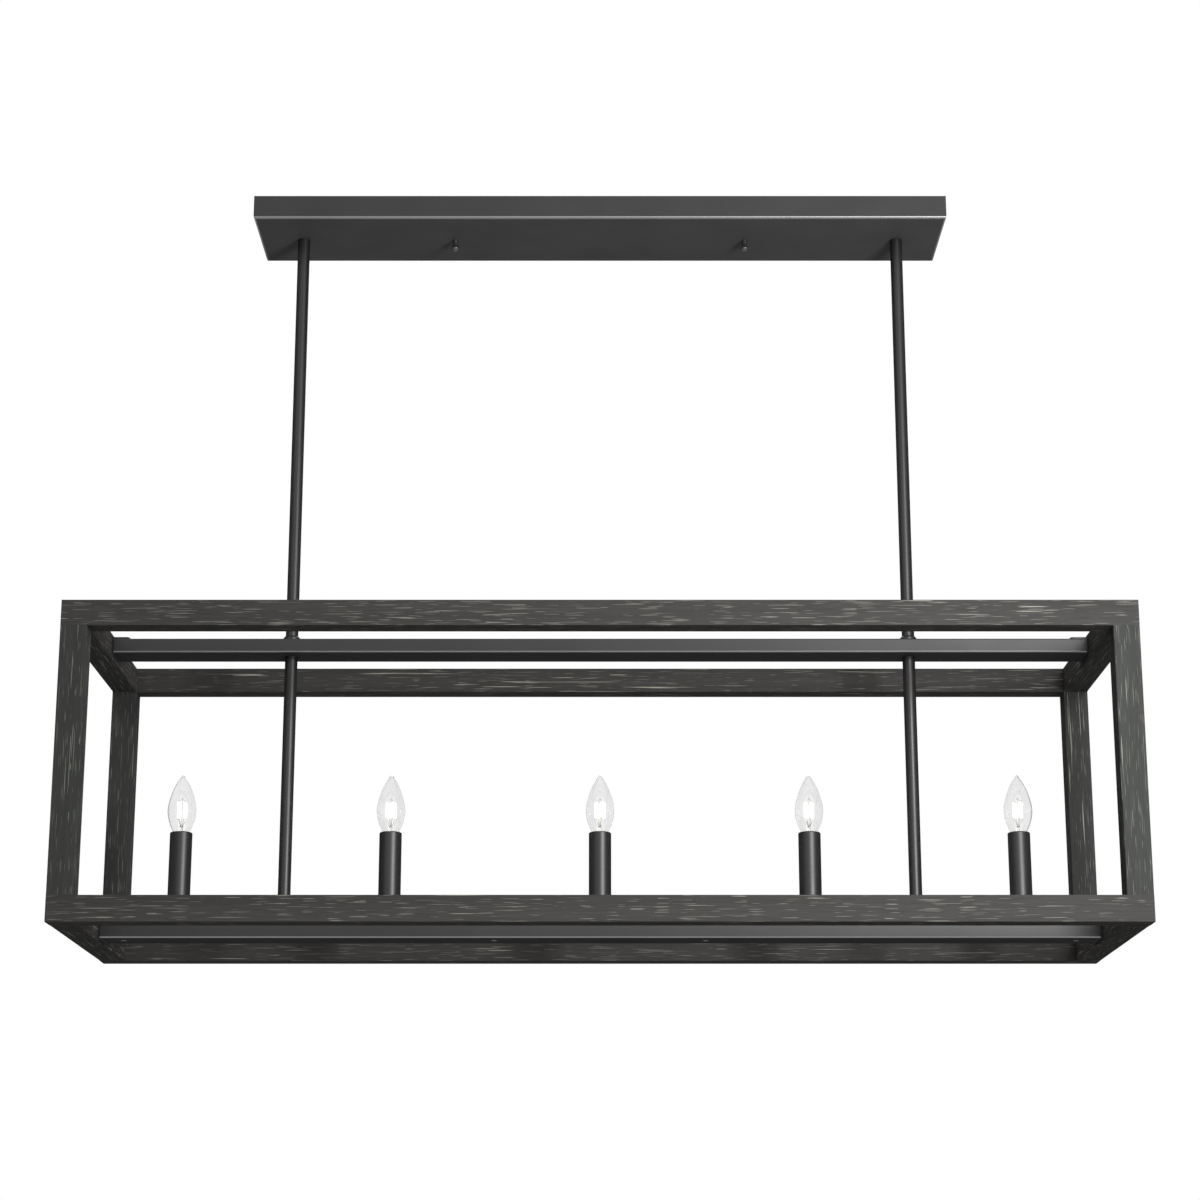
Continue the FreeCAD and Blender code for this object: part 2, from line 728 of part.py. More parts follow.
def make_bulb_filaments(x):
    """Glass stem flanged under the neck, a ring of upright filament bars and their leads."""
    stem_low = cap_rim - cap_seat_depth
    rim_radius = bulb_neck_radius - loose
    stem_radius = rim_radius - bulb_wall
    stem_top = stem_low + stem_height
    low = sleeve_top + filament_base_height
    high = low + filament_length
    stem = faceted(x, [
        (0, stem_low - stem_rim),
        (rim_radius, stem_low - stem_rim),
        (rim_radius, stem_low),
        (stem_radius, stem_low),
        (stem_radius, stem_low + stem_flare_height),
        (stem_tip_radius, stem_top),
        (0, stem_top),
    ], pipe_sides)
    mast_top = high + crown_rise
    mast_height = mast_top - stem_top
    pieces = [centred_block((x, 0, stem_top + mast_height / 2), (lead_size, lead_size, mast_height))]
    for index in range(filament_count):
        turn = 360 * (index + 0.5) / filament_count
        reach = filament_circle + filament_size / 2
        bar = centred_block((filament_circle, 0, (low + high) / 2),
                            (filament_size, filament_size, filament_length))
        spoke = block((0, reach), (-lead_size / 2, lead_size / 2), (high - lead_size, high))
        foot = block((0, reach), (-lead_size / 2, lead_size / 2), (low, low + lead_size))
        for piece in (bar, spoke, foot):
            piece.rotate(at(0, 0, 0), UP, turn)
            piece.translate(at(x, 0, 0))
            pieces.append(piece)
    return stem.fuse(pieces).removeSplitter()


# ---------------------------------------------------------------- assembly
def all_nodes():
    """Every node by name."""
    nodes = {
        "canopy": make_canopy(),
        "mounting_strap": make_mounting_strap(),
        "strap_studs": make_strap_studs(),
        "strap_stud_nuts": make_strap_stud_nuts(),
        "ground_screw": make_ground_screw(),
        "threaded_nipples": make_threaded_nipples(),
        "nipple_locknuts": make_nipple_locknuts(),
        "rod_collars": make_rod_collars(),
        "upper_crossbar": make_upper_crossbar(),
        "lower_channel": make_lower_channel(),
        "lamp_plate": make_lamp_plate(),
        "channel_screws": make_channel_screws(),
        "end_brackets": group([make_end_bracket(side, bar_top) for side in SIDES
                               for bar_top in (upper_bar_top, lower_bar_top)]),
        "bracket_wood_screws": make_bracket_wood_screws(),
        "bracket_tab_screws": make_bracket_tab_screws(),
        "loose_tenons": group(tenons(0)),
        "lampholder_legs": make_lampholder_legs(),
    }
    for side in SIDES:
        name = SIDE_NAMES[side]
        nodes["thumb_nut_" + name] = make_thumb_nut(side * stud_spacing / 2)
        nodes["downrod_" + name] = make_downrod(side * rod_x)
        nodes["inner_rod_" + name] = make_inner_rod(side * rod_x)
        nodes["end_rail_top_" + name] = make_end_rail(side, frame_top - timber)
        nodes["end_rail_bottom_" + name] = make_end_rail(side, frame_bottom)
        for deep in SIDES:
            nodes["post_" + DEPTH_NAMES[deep] + "_" + name] = make_post(side, deep)
    for deep in SIDES:
        nodes["long_rail_top_" + DEPTH_NAMES[deep]] = make_long_rail(deep, frame_top - timber)
        nodes["long_rail_bottom_" + DEPTH_NAMES[deep]] = make_long_rail(deep, frame_bottom)
    for number, x in enumerate(lamp_places, 1):
        nodes[f"candle_sleeve_{number}"] = make_candle_sleeve(x)
        nodes[f"lampholder_{number}"] = make_lampholder(x)
        nodes[f"bulb_{number}_glass"] = make_bulb_glass(x)
        nodes[f"bulb_{number}_cap"] = make_bulb_cap(x)
        nodes[f"bulb_{number}_filaments"] = make_bulb_filaments(x)
    return nodes


os.makedirs("parts", exist_ok=True)
for node, shape in all_nodes().items():
    shape.exportStep(f"parts/{node}.step")
    print(node, len(shape.Solids), "solids", round(shape.Volume, 1), "mm3", shape.isValid())
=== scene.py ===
import bmesh
import bpy
import math
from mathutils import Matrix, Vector


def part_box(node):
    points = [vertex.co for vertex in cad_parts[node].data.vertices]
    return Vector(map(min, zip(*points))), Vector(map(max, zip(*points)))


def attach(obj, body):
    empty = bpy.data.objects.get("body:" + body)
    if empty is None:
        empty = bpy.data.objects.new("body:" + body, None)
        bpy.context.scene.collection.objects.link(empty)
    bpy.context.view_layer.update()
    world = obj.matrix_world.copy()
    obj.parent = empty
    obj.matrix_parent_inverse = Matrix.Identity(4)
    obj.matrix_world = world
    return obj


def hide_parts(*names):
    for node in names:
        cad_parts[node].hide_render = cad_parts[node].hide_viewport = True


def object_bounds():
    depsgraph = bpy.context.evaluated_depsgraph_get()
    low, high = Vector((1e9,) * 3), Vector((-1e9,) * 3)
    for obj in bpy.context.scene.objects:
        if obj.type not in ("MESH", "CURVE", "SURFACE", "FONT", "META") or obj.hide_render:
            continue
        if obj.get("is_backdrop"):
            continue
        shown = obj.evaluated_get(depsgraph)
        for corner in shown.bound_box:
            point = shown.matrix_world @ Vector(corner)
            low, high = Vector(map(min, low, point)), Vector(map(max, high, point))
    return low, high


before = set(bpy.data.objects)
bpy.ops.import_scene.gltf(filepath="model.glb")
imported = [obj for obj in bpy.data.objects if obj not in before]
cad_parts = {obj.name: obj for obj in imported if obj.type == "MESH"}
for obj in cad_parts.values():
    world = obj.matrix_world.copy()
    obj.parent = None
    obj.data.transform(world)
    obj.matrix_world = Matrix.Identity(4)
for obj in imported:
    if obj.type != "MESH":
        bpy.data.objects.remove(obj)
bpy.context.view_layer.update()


# ---------------------------------------------------------------- mounting strap
# The strap is folded from zinc-plated steel, with slots for the outlet box's screws and turned-down
# sides. It screws to the box, and everything below hangs from its two studs.
def find_socket(sockets, name):
    """The socket of that name that is in use; some nodes keep several under one name."""
    return next(socket for socket in sockets if socket.name == name and socket.enabled)


def put(tree, kind, settings=None, **inputs):
    """A node with its options, and its inputs set to values or linked to other nodes' outputs."""
    node = tree.nodes.new(kind)
    for option, choice in (settings or {}).items():
        setattr(node, option, choice)
    for name, value in inputs.items():
        socket = find_socket(node.inputs, name.replace("_", " "))
        if isinstance(value, bpy.types.NodeSocket):
            tree.links.new(value, socket)
        else:
            socket.default_value = value
    return node


def new_finish(name, **constants):
    """A material with its shader's plain values set, ready for its patterns."""
    material = bpy.data.materials.new(name)
    material.use_nodes = True
    shader = material.node_tree.nodes["Principled BSDF"]
    for socket, value in constants.items():
        shader.inputs[socket.replace("_", " ")].default_value = value
    return material, material.node_tree, shader


def place_on(tree, stretch=(1, 1, 1), shift=(0, 0, 0), turn=(0, 0, 0)):
    """Object coordinates, shifted, turned and stretched."""
    where = put(tree, "ShaderNodeTexCoord").outputs["Object"]
    shifted = put(tree, "ShaderNodeVectorMath", {"operation": "ADD"})
    tree.links.new(where, shifted.inputs[0])
    shifted.inputs[1].default_value = shift
    turned_to = put(tree, "ShaderNodeMapping", Vector=shifted.outputs[0], Rotation=turn)
    return put(tree, "ShaderNodeMapping", Vector=turned_to.outputs[0], Scale=stretch).outputs[0]


def speckle(tree, where, scale, detail=2.0, roughness=0.5):
    """Plain noise at a scale in features per metre."""
    noise = put(tree, "ShaderNodeTexNoise", Vector=where, Scale=scale, Detail=detail,
                Roughness=roughness)
    return noise.outputs[0]


def ramp(tree, amount, low, high, low_value=0.0, high_value=1.0):
    """A number that runs between two values as the amount runs between two levels."""
    spread = put(tree, "ShaderNodeMapRange", {"interpolation_type": "SMOOTHSTEP"}, Value=amount)
    for socket, value in (("From Min", low), ("From Max", high),
                          ("To Min", low_value), ("To Max", high_value)):
        find_socket(spread.inputs, socket).default_value = value
    return spread.outputs[0]


def blend_colours(tree, amount, first, second):
    """One colour to another as an amount goes from 0 to 1."""
    mix = put(tree, "ShaderNodeMix", {"data_type": "RGBA"}, Factor=amount)
    for name, colour in (("A", first), ("B", second)):
        socket = find_socket(mix.inputs, name)
        if isinstance(colour, bpy.types.NodeSocket):
            tree.links.new(colour, socket)
        else:
            socket.default_value = (*colour, 1)
    return find_socket(mix.outputs, "Result")


def mottle(tree, shader, amount, first, second):
    """Base colour that goes from one tone to another as an amount goes from 0 to 1."""
    tone = blend_colours(tree, amount, first, second)
    tree.links.new(tone, shader.inputs["Base Color"])
    return tone


def emboss(tree, shader, height, depth, strength):
    """Relief of a depth in metres on the shader's normal."""
    relief = put(tree, "ShaderNodeBump", Height=height, Distance=depth, Strength=strength)
    tree.links.new(relief.outputs[0], shader.inputs["Normal"])


def sheen(tree, shader, share, roughness):
    """A little of the surroundings reflected evenly at every angle, over a matt shader."""
    shader.inputs["Specular IOR Level"].default_value = 0.0
    gloss = put(tree, "ShaderNodeBsdfAnisotropic", Roughness=roughness)
    bend = shader.inputs["Normal"].links
    if bend:
        tree.links.new(bend[0].from_socket, gloss.inputs["Normal"])
    over = put(tree, "ShaderNodeMixShader")
    find_socket(over.inputs, "Fac").default_value = share
    tree.links.new(shader.outputs[0], over.inputs[1])
    tree.links.new(gloss.outputs[0], over.inputs[2])
    tree.links.new(over.outputs[0], tree.nodes["Material Output"].inputs["Surface"])


def zinc_plate():
    """Passivated zinc: pale grey metal, a little cloudy, with fine rolling marks."""
    material, tree, shader = new_finish("zinc_plate", Metallic=1.0)
    cloud = speckle(tree, place_on(tree), 90, 3)
    marks = speckle(tree, place_on(tree, (60, 2200, 2200)), 1, 2)
    mottle(tree, shader, ramp(tree, cloud, 0.35, 0.65), (0.33, 0.33, 0.31), (0.47, 0.46, 0.42))
    tree.links.new(ramp(tree, marks, 0.3, 0.7, 0.3, 0.46), shader.inputs["Roughness"])
    emboss(tree, shader, marks, 0.00002, 0.5)
    return material


def dress(piece, body, finish, slot, *replaced):
    """Give a finished piece its material and body, and hide the nodes that it stands for. Its slot is
    not used.
    """
    piece.data.materials.clear()
    piece.data.materials.append(finish)
    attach(piece, body)
    if replaced:
        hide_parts(*replaced)
    return piece


def settled(piece):
    """The piece's mesh with its modifiers worked out."""
    graph = bpy.context.evaluated_depsgraph_get()
    return bpy.data.meshes.new_from_object(piece.evaluated_get(graph))


def even_normals(piece, sharp_angle):
    """Smooth shading with crisp edges, flat faces kept flat, as a plain mesh."""
    piece.data.shade_smooth()
    piece.data.set_sharp_from_angle(angle=math.radians(sharp_angle))
    weigh = piece.modifiers.new("weigh", "WEIGHTED_NORMAL")
    weigh.keep_sharp = True
    weigh.weight = 100
    result = settled(piece)
    piece.modifiers.remove(weigh)
    piece.data = result
    piece.data.name = piece.name
    return piece


def stand(name, mesh):
    """A mesh as an object of the scene."""
    piece = bpy.data.objects.new(name, mesh)
    bpy.context.scene.collection.objects.link(piece)
    return piece


def pressed(name, node, soft_edge):
    """A folded or extruded part after its solid, welded, with its hard edges slightly eased."""
    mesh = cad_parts[node].data.copy()
    mesh.name = name
    work = bmesh.new()
    work.from_mesh(mesh)
    weld, flat, hard_bend, sharp_angle = 2e-6, math.radians(0.5), math.radians(35), 40
    bmesh.ops.remove_doubles(work, verts=work.verts, dist=weld)
    bmesh.ops.dissolve_limit(work, angle_limit=flat, verts=work.verts, edges=work.edges)
    if soft_edge:
        hard = [edge for edge in work.edges
                if len(edge.link_faces) == 2 and edge.calc_face_angle(0) > hard_bend]
        bmesh.ops.bevel(work, geom=hard, offset=soft_edge, segments=2, affect="EDGES",
                        profile=0.5, clamp_overlap=True)
    bmesh.ops.triangulate(work, faces=[face for face in work.faces if len(face.verts) > 4])
    work.to_mesh(mesh)
    work.free()
    return even_normals(stand(name, mesh), sharp_angle)


MM = 0.001
fold_ease = 0.2 * MM
zinc = zinc_plate()
strap = pressed("strap", "mounting_strap", fold_ease)
dress(strap, "fixture", zinc, "zinc_plated_steel", "mounting_strap")


# ---------------------------------------------------------------- studs and their lock nuts
# Two threaded zinc-plated studs hang through the strap's ends, locked under it by thin hexagon
# nuts. They come out of the canopy's floor and end inside the thumb nuts.
def turned(name, outline, sides, sharp_angle=40, closed=True):
    """A solid of revolution about Z from its (radius, height) points.

    A radius or a height may be a function of the angle. A plain radius of 0 is a pole. A closed
    outline comes back to its first point, as a tube's does.
    """
    work = bmesh.new()
    rings = []
    for radius, height in outline:
        if not callable(radius) and radius == 0:
            rings.append([work.verts.new((0, 0, height(0) if callable(height) else height))])
            continue
        ring = []
        for step in range(sides):
            angle = 2 * math.pi * step / sides
            reach = radius(angle) if callable(radius) else radius
            level = height(angle) if callable(height) else height
            ring.append(work.verts.new((reach * math.cos(angle), reach * math.sin(angle), level)))
        rings.append(ring)
    pairs = list(zip(rings, rings[1:] + rings[:1])) if closed else list(zip(rings, rings[1:]))
    for lower, upper in pairs:
        for step in range(sides):
            after = (step + 1) % sides
            corners = [lower[step % len(lower)]]
            if len(lower) > 1:
                corners.append(lower[after])
            if len(upper) > 1:
                corners.append(upper[after])
            corners.append(upper[step % len(upper)])
            if len(corners) > 2:
                work.faces.new(corners)
    bmesh.ops.recalc_face_normals(work, faces=work.faces)
    mesh = bpy.data.meshes.new(name)
    work.to_mesh(mesh)
    work.free()
    return even_normals(stand(name, mesh), sharp_angle)


def thread(radius, depth, pitch, low, high):
    """Outline points of a right-hand thread between two heights, with its crests at a radius."""
    rows = 5                     # points along one pitch
    count = round((high - low) / pitch * rows)
    points = []
    for row in range(count + 1):
        level = low + (high - low) * row / count
        fade = min(1, row / rows, (count - row) / rows)

        def reach(angle, level=level, fade=fade):
            share = (level / pitch - angle / (2 * math.pi)) % 1
            return radius - depth * (1 - fade * abs(2 * share - 1))
        points.append((reach, level))
    return points


def hexagon(flats, limit):
    """Radius of a hexagon across its flats, cut to a circle."""
    def reach(angle):
        off_flat = (angle + math.pi / 6) % (math.pi / 3) - math.pi / 6
        return min(flats / 2 / math.cos(off_flat), limit)
    return reach


def scatter_tree():
    """Nodes that set out a piece at each point, tilted as the point says and spun at random."""
    tree = bpy.data.node_groups.new("set_out", "GeometryNodeTree")
    sockets = tree.interface
    for label, kind in (("Places", "NodeSocketGeometry"), ("Piece", "NodeSocketObject"),
                        ("Finish", "NodeSocketMaterial"), ("Most spin", "NodeSocketFloat"),
                        ("Size", "NodeSocketFloat"), ("Seed", "NodeSocketInt")):
        sockets.new_socket(label, in_out="INPUT", socket_type=kind)
    sockets.new_socket("Pieces", in_out="OUTPUT", socket_type="NodeSocketGeometry")
    given = put(tree, "NodeGroupInput").outputs
    source = put(tree, "GeometryNodeObjectInfo", Object=given["Piece"])
    tilt = put(tree, "GeometryNodeInputNamedAttribute", {"data_type": "FLOAT_VECTOR"}, Name="tilt")
    tilted = put(tree, "FunctionNodeEulerToRotation", Euler=find_socket(tilt.outputs, "Attribute"))
    chance = put(tree, "FunctionNodeRandomValue", {"data_type": "FLOAT"},
                 Min=0.0, Max=given["Most spin"], Seed=given["Seed"])
    spin = put(tree, "FunctionNodeAxisAngleToRotation", Axis=(0, 0, 1),
               Angle=find_socket(chance.outputs, "Value"))
    turned_to = put(tree, "FunctionNodeRotateRotation", {"rotation_space": "LOCAL"},
                    Rotation=tilted.outputs[0], Rotate_By=spin.outputs[0])
    scaled = put(tree, "ShaderNodeCombineXYZ", X=given["Size"], Y=given["Size"], Z=given["Size"])
    laid = put(tree, "GeometryNodeInstanceOnPoints", Points=given["Places"],
               Instance=source.outputs["Geometry"], Rotation=turned_to.outputs[0],
               Scale=scaled.outputs[0])
    real = put(tree, "GeometryNodeRealizeInstances", Geometry=laid.outputs[0])
    painted = put(tree, "GeometryNodeSetMaterial", Geometry=real.outputs[0], Material=given["Finish"])
    put(tree, "NodeGroupOutput", Pieces=painted.outputs[0])
    return tree


set_out = scatter_tree()


def lay_out(name, piece, places, finish, slot, replaced):
    """Copies of a piece, modelled about the origin, at (place, tilt) pairs on the fixture.

    They become one plain mesh that stands for a CAD node.
    """
    points = bpy.data.meshes.new(name)
    points.from_pydata([place for place, tilt in places], [], [])
    points.attributes.new("tilt", "FLOAT_VECTOR", "POINT").data.foreach_set(
        "vector", [value for place, tilt in places for value in tilt])
    holder = stand(name, points)
    spread = holder.modifiers.new("set_out", "NODES")
    spread.node_group = set_out
    given = {item.name: item.identifier for item in set_out.interface.items_tree
             if item.in_out == "INPUT"}
    for label, value in (("Piece", piece), ("Finish", finish), ("Most spin", 2 * math.pi),
                         ("Size", 1.0), ("Seed", 5)):
        spread[given[label]] = value
    result = settled(holder)
    holder.modifiers.remove(spread)
    holder.data = result
    bpy.data.objects.remove(piece)
    dress(holder, "fixture", finish, slot, replaced)


UPRIGHT = (0, 0, 0)
stud_low, stud_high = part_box("strap_studs")
stud_radius = 1.75 * MM
stud_depth = 0.3 * MM
stud_pitch = 0.8 * MM
stud_tip = 0.5 * MM
stud_sides = 20
stud_x = stud_high.x - stud_radius
stud_length = stud_high.z - stud_low.z
stud = turned("stud", [
    (0, 0),
    (stud_radius - stud_tip, 0),
    *thread(stud_radius, stud_depth, stud_pitch, stud_tip, stud_length - stud_tip),
    (stud_radius - stud_tip, stud_length),
    (0, stud_length),
], stud_sides, closed=False)
stud_places = [((side * stud_x, 0, stud_low.z), UPRIGHT) for side in (-1, 1)]
lay_out("studs", stud, stud_places, zinc, "zinc_plated_steel", "strap_studs")

nut_low, nut_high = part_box("strap_stud_nuts")
nut_height = nut_high.z - nut_low.z
nut_flats = nut_high.y - nut_low.y


def hexagon_nut(name, flats, height, bore):
    """A hexagon nut with its corners taken off top and bottom."""
    ease, lead = 0.06 * flats, 0.35 * MM
    rim = hexagon(flats, 0.53 * flats)
    body = hexagon(flats, flats)
    return turned(name, [
        (bore + lead, 0),
        (rim, 0),
        (body, ease),
        (body, height - ease),
        (rim, height),
        (bore + lead, height),
        (bore, height - lead),
        (bore, lead),
    ], 48, 25)


nut = hexagon_nut("nut", nut_flats, nut_height, stud_radius)
nut_places = [((side * stud_x, 0, nut_low.z), UPRIGHT) for side in (-1, 1)]
lay_out("stud_nuts", nut, nut_places, zinc, "zinc_plated_steel", "strap_stud_nuts")


# ---------------------------------------------------------------- earthing screw
# A green-plated machine screw with a cross recess in its domed head, for the earth wire. It is
# driven up into the strap beside the middle.
def cross_recess(arm, width, depth, crown):
    """Height of a head's face, with a cross-shaped recess sunk from its crown."""
    def face(radius, level):
        def height(angle):
            near = abs(math.cos(angle) * radius), abs(math.sin(angle) * radius)
            across, along = min(near), max(near)
            if across > width / 2 or along > arm:
                return level
            return crown - depth * (1 - along / arm * 0.6)
        return height
    return face


screw_sides, screw_sharp_angle = 32, 50


def pan_screw(name, head_radius, head_height, shank_radius, shank_length, pitch, point=0.0):
    """A cross-recess screw: head below the origin, threaded shank above it."""
    arm, width, depth = 0.5 * head_radius, 0.26 * head_radius, 0.75 * head_height
    recess_floor, rim, doming = -head_height * 0.25, -head_height * 0.2, 0.86
    face = cross_recess(arm, width, depth, head_height)
    outline = [(0, recess_floor)]
    rows = 12
    for row in range(1, rows + 1):
        share = row / rows
        radius = head_radius * share
        level = head_height * math.sqrt(1 - (doming * share) ** 2)
        height = face(radius, level)
        outline.append((radius, lambda angle, height=height: -height(angle)))
    outline += [(head_radius, rim), (head_radius * 0.97, 0), (shank_radius, 0)]
    root, run_in, run_out = 0.18 * shank_radius, pitch * 0.4, pitch * 0.2
    outline += thread(shank_radius, root, pitch, run_in, shank_length - point - run_out)
    outline += [(shank_radius * 0.5, shank_length - point * 0.5), (0, shank_length)]
    return turned(name, outline, screw_sides, screw_sharp_angle, closed=False)


def green_plating():
    """Green chromate over zinc, thin enough for the metal to shine through."""
    material, tree, shader = new_finish("green_plating", Metallic=0.8, Roughness=0.32)
    cloud = speckle(tree, place_on(tree), 900)
    mottle(tree, shader, ramp(tree, cloud, 0.3, 0.7), (0.02, 0.14, 0.05), (0.03, 0.22, 0.08))
    return material


earth_low, earth_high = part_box("ground_screw")
earth_middle = (earth_low + earth_high) / 2
head_radius = (earth_high.x - earth_low.x) / 2
shank_length = 1.6 * MM
head_height = earth_high.z - earth_low.z - shank_length
green = green_plating()
screw = pan_screw("screw", head_radius, head_height, stud_radius, shank_length, stud_pitch)
earth_place = ((earth_middle.x, 0, earth_low.z + head_height), UPRIGHT)
lay_out("earth_screw", screw, [earth_place], green, "green_screw", "ground_screw")


# ---------------------------------------------------------------- canopy
# The canopy is a shallow pan folded and welded from 1 mm steel, powder-coated satin black. It is
# drawn up to the ceiling over the strap, and the two rods hang from its floor.
def black_paint(name, tone, share, gloss, grit=0.00002):
    """Powder coat: nearly black, faintly uneven in tone and sheen, with a fine orange peel."""
    material, tree, shader = new_finish(name)
    cloud = speckle(tree, place_on(tree), 14, 3)
    peel = speckle(tree, place_on(tree), 1100, 1)
    dark = [channel * 0.93 for channel in tone]
    light = [channel * 1.07 for channel in tone]
    mottle(tree, shader, ramp(tree, cloud, 0.3, 0.7), dark, light)
    emboss(tree, shader, peel, grit, 0.6)
    sheen(tree, shader, share, ramp(tree, cloud, 0.3, 0.7, gloss - 0.02, gloss + 0.03))
    return material


def paint_faces(piece, finish, chosen):
    """A second finish on the faces whose normal is chosen."""
    piece.data.materials.append(finish)
    for face in piece.data.polygons:
        if chosen(face.normal):
            face.material_index = len(piece.data.materials) - 1


straight_down, slightly_down = -0.985, -0.15    # levels of a normal's Z


def lower_bend(normal):
    """True on a bend into an underside, where a painted highlight line goes."""
    return straight_down < normal.z < slightly_down


def facing_down(normal):
    """True on an underside, which gets a copy of its paint made lighter or darker as painted light or
    shade.
    """
    return normal.z <= straight_down


canopy_black = black_paint("canopy_black", (0.05, 0.05, 0.05), 0.028, 0.5)
# A lighter, less shiny copy of the canopy paint for its underside: painted light.
canopy_under_black = black_paint("canopy_under_black", (0.098, 0.098, 0.098), 0.012, 0.5)
# A lighter, much glossier copy of the paint for the lower bends: a painted highlight line.
rubbed_black = black_paint("rubbed_black", (0.06, 0.06, 0.06), 0.24, 0.42)
canopy = pressed("canopy_pan", "canopy", 0)
dress(canopy, "fixture", canopy_black, "satin_black_paint", "canopy")
# The lower front bend gets the painted highlight line.
paint_faces(canopy, rubbed_black, lower_bend)
# The underside gets the painted light copy of the paint.
paint_faces(canopy, canopy_under_black, facing_down)


# ---------------------------------------------------------------- thumb nuts
# Two turned steel nuts, slim at the neck and swelling to a rounded bulge, painted with the canopy.
# They are screwed up the studs by hand until the canopy meets the ceiling.
def thumb_nut(name, height, bulge, neck, bore, bore_depth):
    """Revolved nut: straight neck, flare, bulge, rounded tip and a blind bore from the top."""
    neck_length, tip_length, steps = 4.0 * MM, 3.0 * MM, 8
    flare = height - neck_length - tip_length
    outline = [(0, height - bore_depth), (bore, height - bore_depth), (bore, height), (neck, height)]
    for step in range(steps + 1):
        share = step / steps
        outline.append((neck + (bulge - neck) * share ** 2, height - neck_length - flare * share))
    for step in range(1, steps + 1):
        angle = math.radians(90 * step / steps)
        outline.append((bulge * math.cos(angle), tip_length * (1 - math.sin(angle))))
    outline[-1] = (0, 0)
    return turned(name, outline, 48, 50, closed=False)


def moved(piece, place):
    """The piece's mesh at a place, with its object left at the origin."""
    for vertex in piece.data.vertices:
        vertex.co += Vector(place)
    return piece


nut_black = black_paint("nut_black", (0.03, 0.03, 0.03), 0.11, 0.38)
thumb_neck, thumb_bore, thumb_bore_depth = 2.8 * MM, 1.8 * MM, 10.05 * MM
for side in ("left", "right"):
    node = "thumb_nut_" + side
    low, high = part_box(node)
    middle = (low + high) / 2
    nut = thumb_nut("hand_nut_" + side, high.z - low.z, (high.x - low.x) / 2, thumb_neck, thumb_bore,
                    thumb_bore_depth)
    dress(moved(nut, (middle.x, 0, low.z)), node, nut_black, "satin_black_paint", node)


# ---------------------------------------------------------------- rods, nipples and lock nuts
# The rods are half-inch steel tube painted satin black. Pipe nipples join them end to end through
# the canopy and the crossbars, and lock nuts hold the nipples where no rod does.
def tube(name, outer, inner, low, high, x):
    """An upright tube with its ends slightly eased."""
    ease = 0.25 * MM
    outline = [(inner, low), (outer - ease, low), (outer, low + ease), (outer, high - ease),
               (outer - ease, high), (inner, high)]
    return moved(turned(name, outline, 72, 30), (x, 0, 0))


rod_black = black_paint("rod_black", (0.012, 0.012, 0.0125), 0.06, 0.4)
rod_bore = 5.2 * MM
for side in ("left", "right"):
    for kind in ("downrod_", "inner_rod_"):
        low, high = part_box(kind + side)
        rod = tube(kind + side + "_tube", (high.x - low.x) / 2, rod_bore, low.z, high.z,
                   (low.x + high.x) / 2)
        dress(rod, "fixture", rod_black, "satin_black_paint", kind + side)

nipple_radius = 5.15 * MM
nipple_bore = 3.75 * MM
nipple_pitch = 0.94 * MM
nipple_depth = 0.45 * MM
nipple_low, nipple_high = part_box("threaded_nipples")
locknut_low, locknut_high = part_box("nipple_locknuts")
rod_low, rod_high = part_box("downrod_right")
rod_x = (rod_low.x + rod_high.x) / 2
sleeve_boxes = [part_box(f"candle_sleeve_{number}") for number in range(1, 6)]
lamp_places = [(low.x + high.x) / 2 for low, high in sleeve_boxes]
upper_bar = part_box("upper_crossbar")
plate_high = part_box("lamp_plate")[1]
engaged = 10 * MM
lamp_nipple_rise = 2.7 * MM


def nipple(name, low, high):
    """A length of threaded pipe."""
    lead = 0.5 * MM
    return turned(name, [
        (nipple_bore, 0),
        (nipple_radius - lead, 0),
        *thread(nipple_radius, nipple_depth, nipple_pitch, lead, high - low - lead),
        (nipple_radius - lead, high - low),
        (nipple_bore, high - low),
    ], 24)


def nipple_group(name, low, high, columns):
    """Like nipples between two heights, one in each column."""
    places = [((x, 0, low), UPRIGHT) for x in columns]
    one = nipple(name + "_one", low, high)
    lay_out(name, one, places, zinc, "zinc_plated_steel", "threaded_nipples")


rods = (-rod_x, rod_x)
nipple_group("canopy_nipples", rod_high.z - engaged, nipple_high.z, rods)
nipple_group("crossbar_nipples", upper_bar[0].z - engaged, upper_bar[1].z + engaged, rods)
nipple_group("plate_nipples", nipple_low.z, plate_high.z + engaged, rods)
nipple_group("lamp_nipples", nipple_low.z, plate_high.z + lamp_nipple_rise, lamp_places)

locknut_height = 4.0 * MM
locknut_flats = locknut_high.y - locknut_low.y
nut = hexagon_nut("nut", locknut_flats, locknut_height, nipple_radius)
locknut_places = [((x, 0, locknut_high.z - locknut_height), UPRIGHT) for x in rods]
locknut_places += [((x, 0, locknut_low.z), UPRIGHT) for x in [*rods, *lamp_places]]
lay_out("pipe_locknuts", nut, locknut_places, zinc, "zinc_plated_steel", "nipple_locknuts")


# ---------------------------------------------------------------- rod collars
# A coned steel collar covers the joint where each rod meets the upper crossbar. It slides over the
# rod and rests on the bar.
fitting_black = black_paint("fitting_black", (0.02, 0.02, 0.02), 0.055, 0.36)
collar_low, collar_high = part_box("rod_collars")
collar_radius = (collar_high.y - collar_low.y) / 2
collar_height = collar_high.z - collar_low.z
collar_cone, collar_lip, collar_ease, collar_slip = 2.0 * MM, 0.5 * MM, 0.3 * MM, 0.05 * MM
collar_bore = (rod_high.x - rod_low.x) / 2 + collar_slip
collar = turned("collar", [
    (collar_bore, 0),
    (collar_radius - collar_ease, 0),
    (collar_radius, collar_ease),
    (collar_radius, collar_height - collar_cone),
    (collar_bore + collar_lip, collar_height),
    (collar_bore, collar_height),
], 64, 30)
collar_places = [((x, 0, collar_low.z), UPRIGHT) for x in rods]
lay_out("collars", collar, collar_places, fitting_black, "satin_black_paint", "rod_collars")


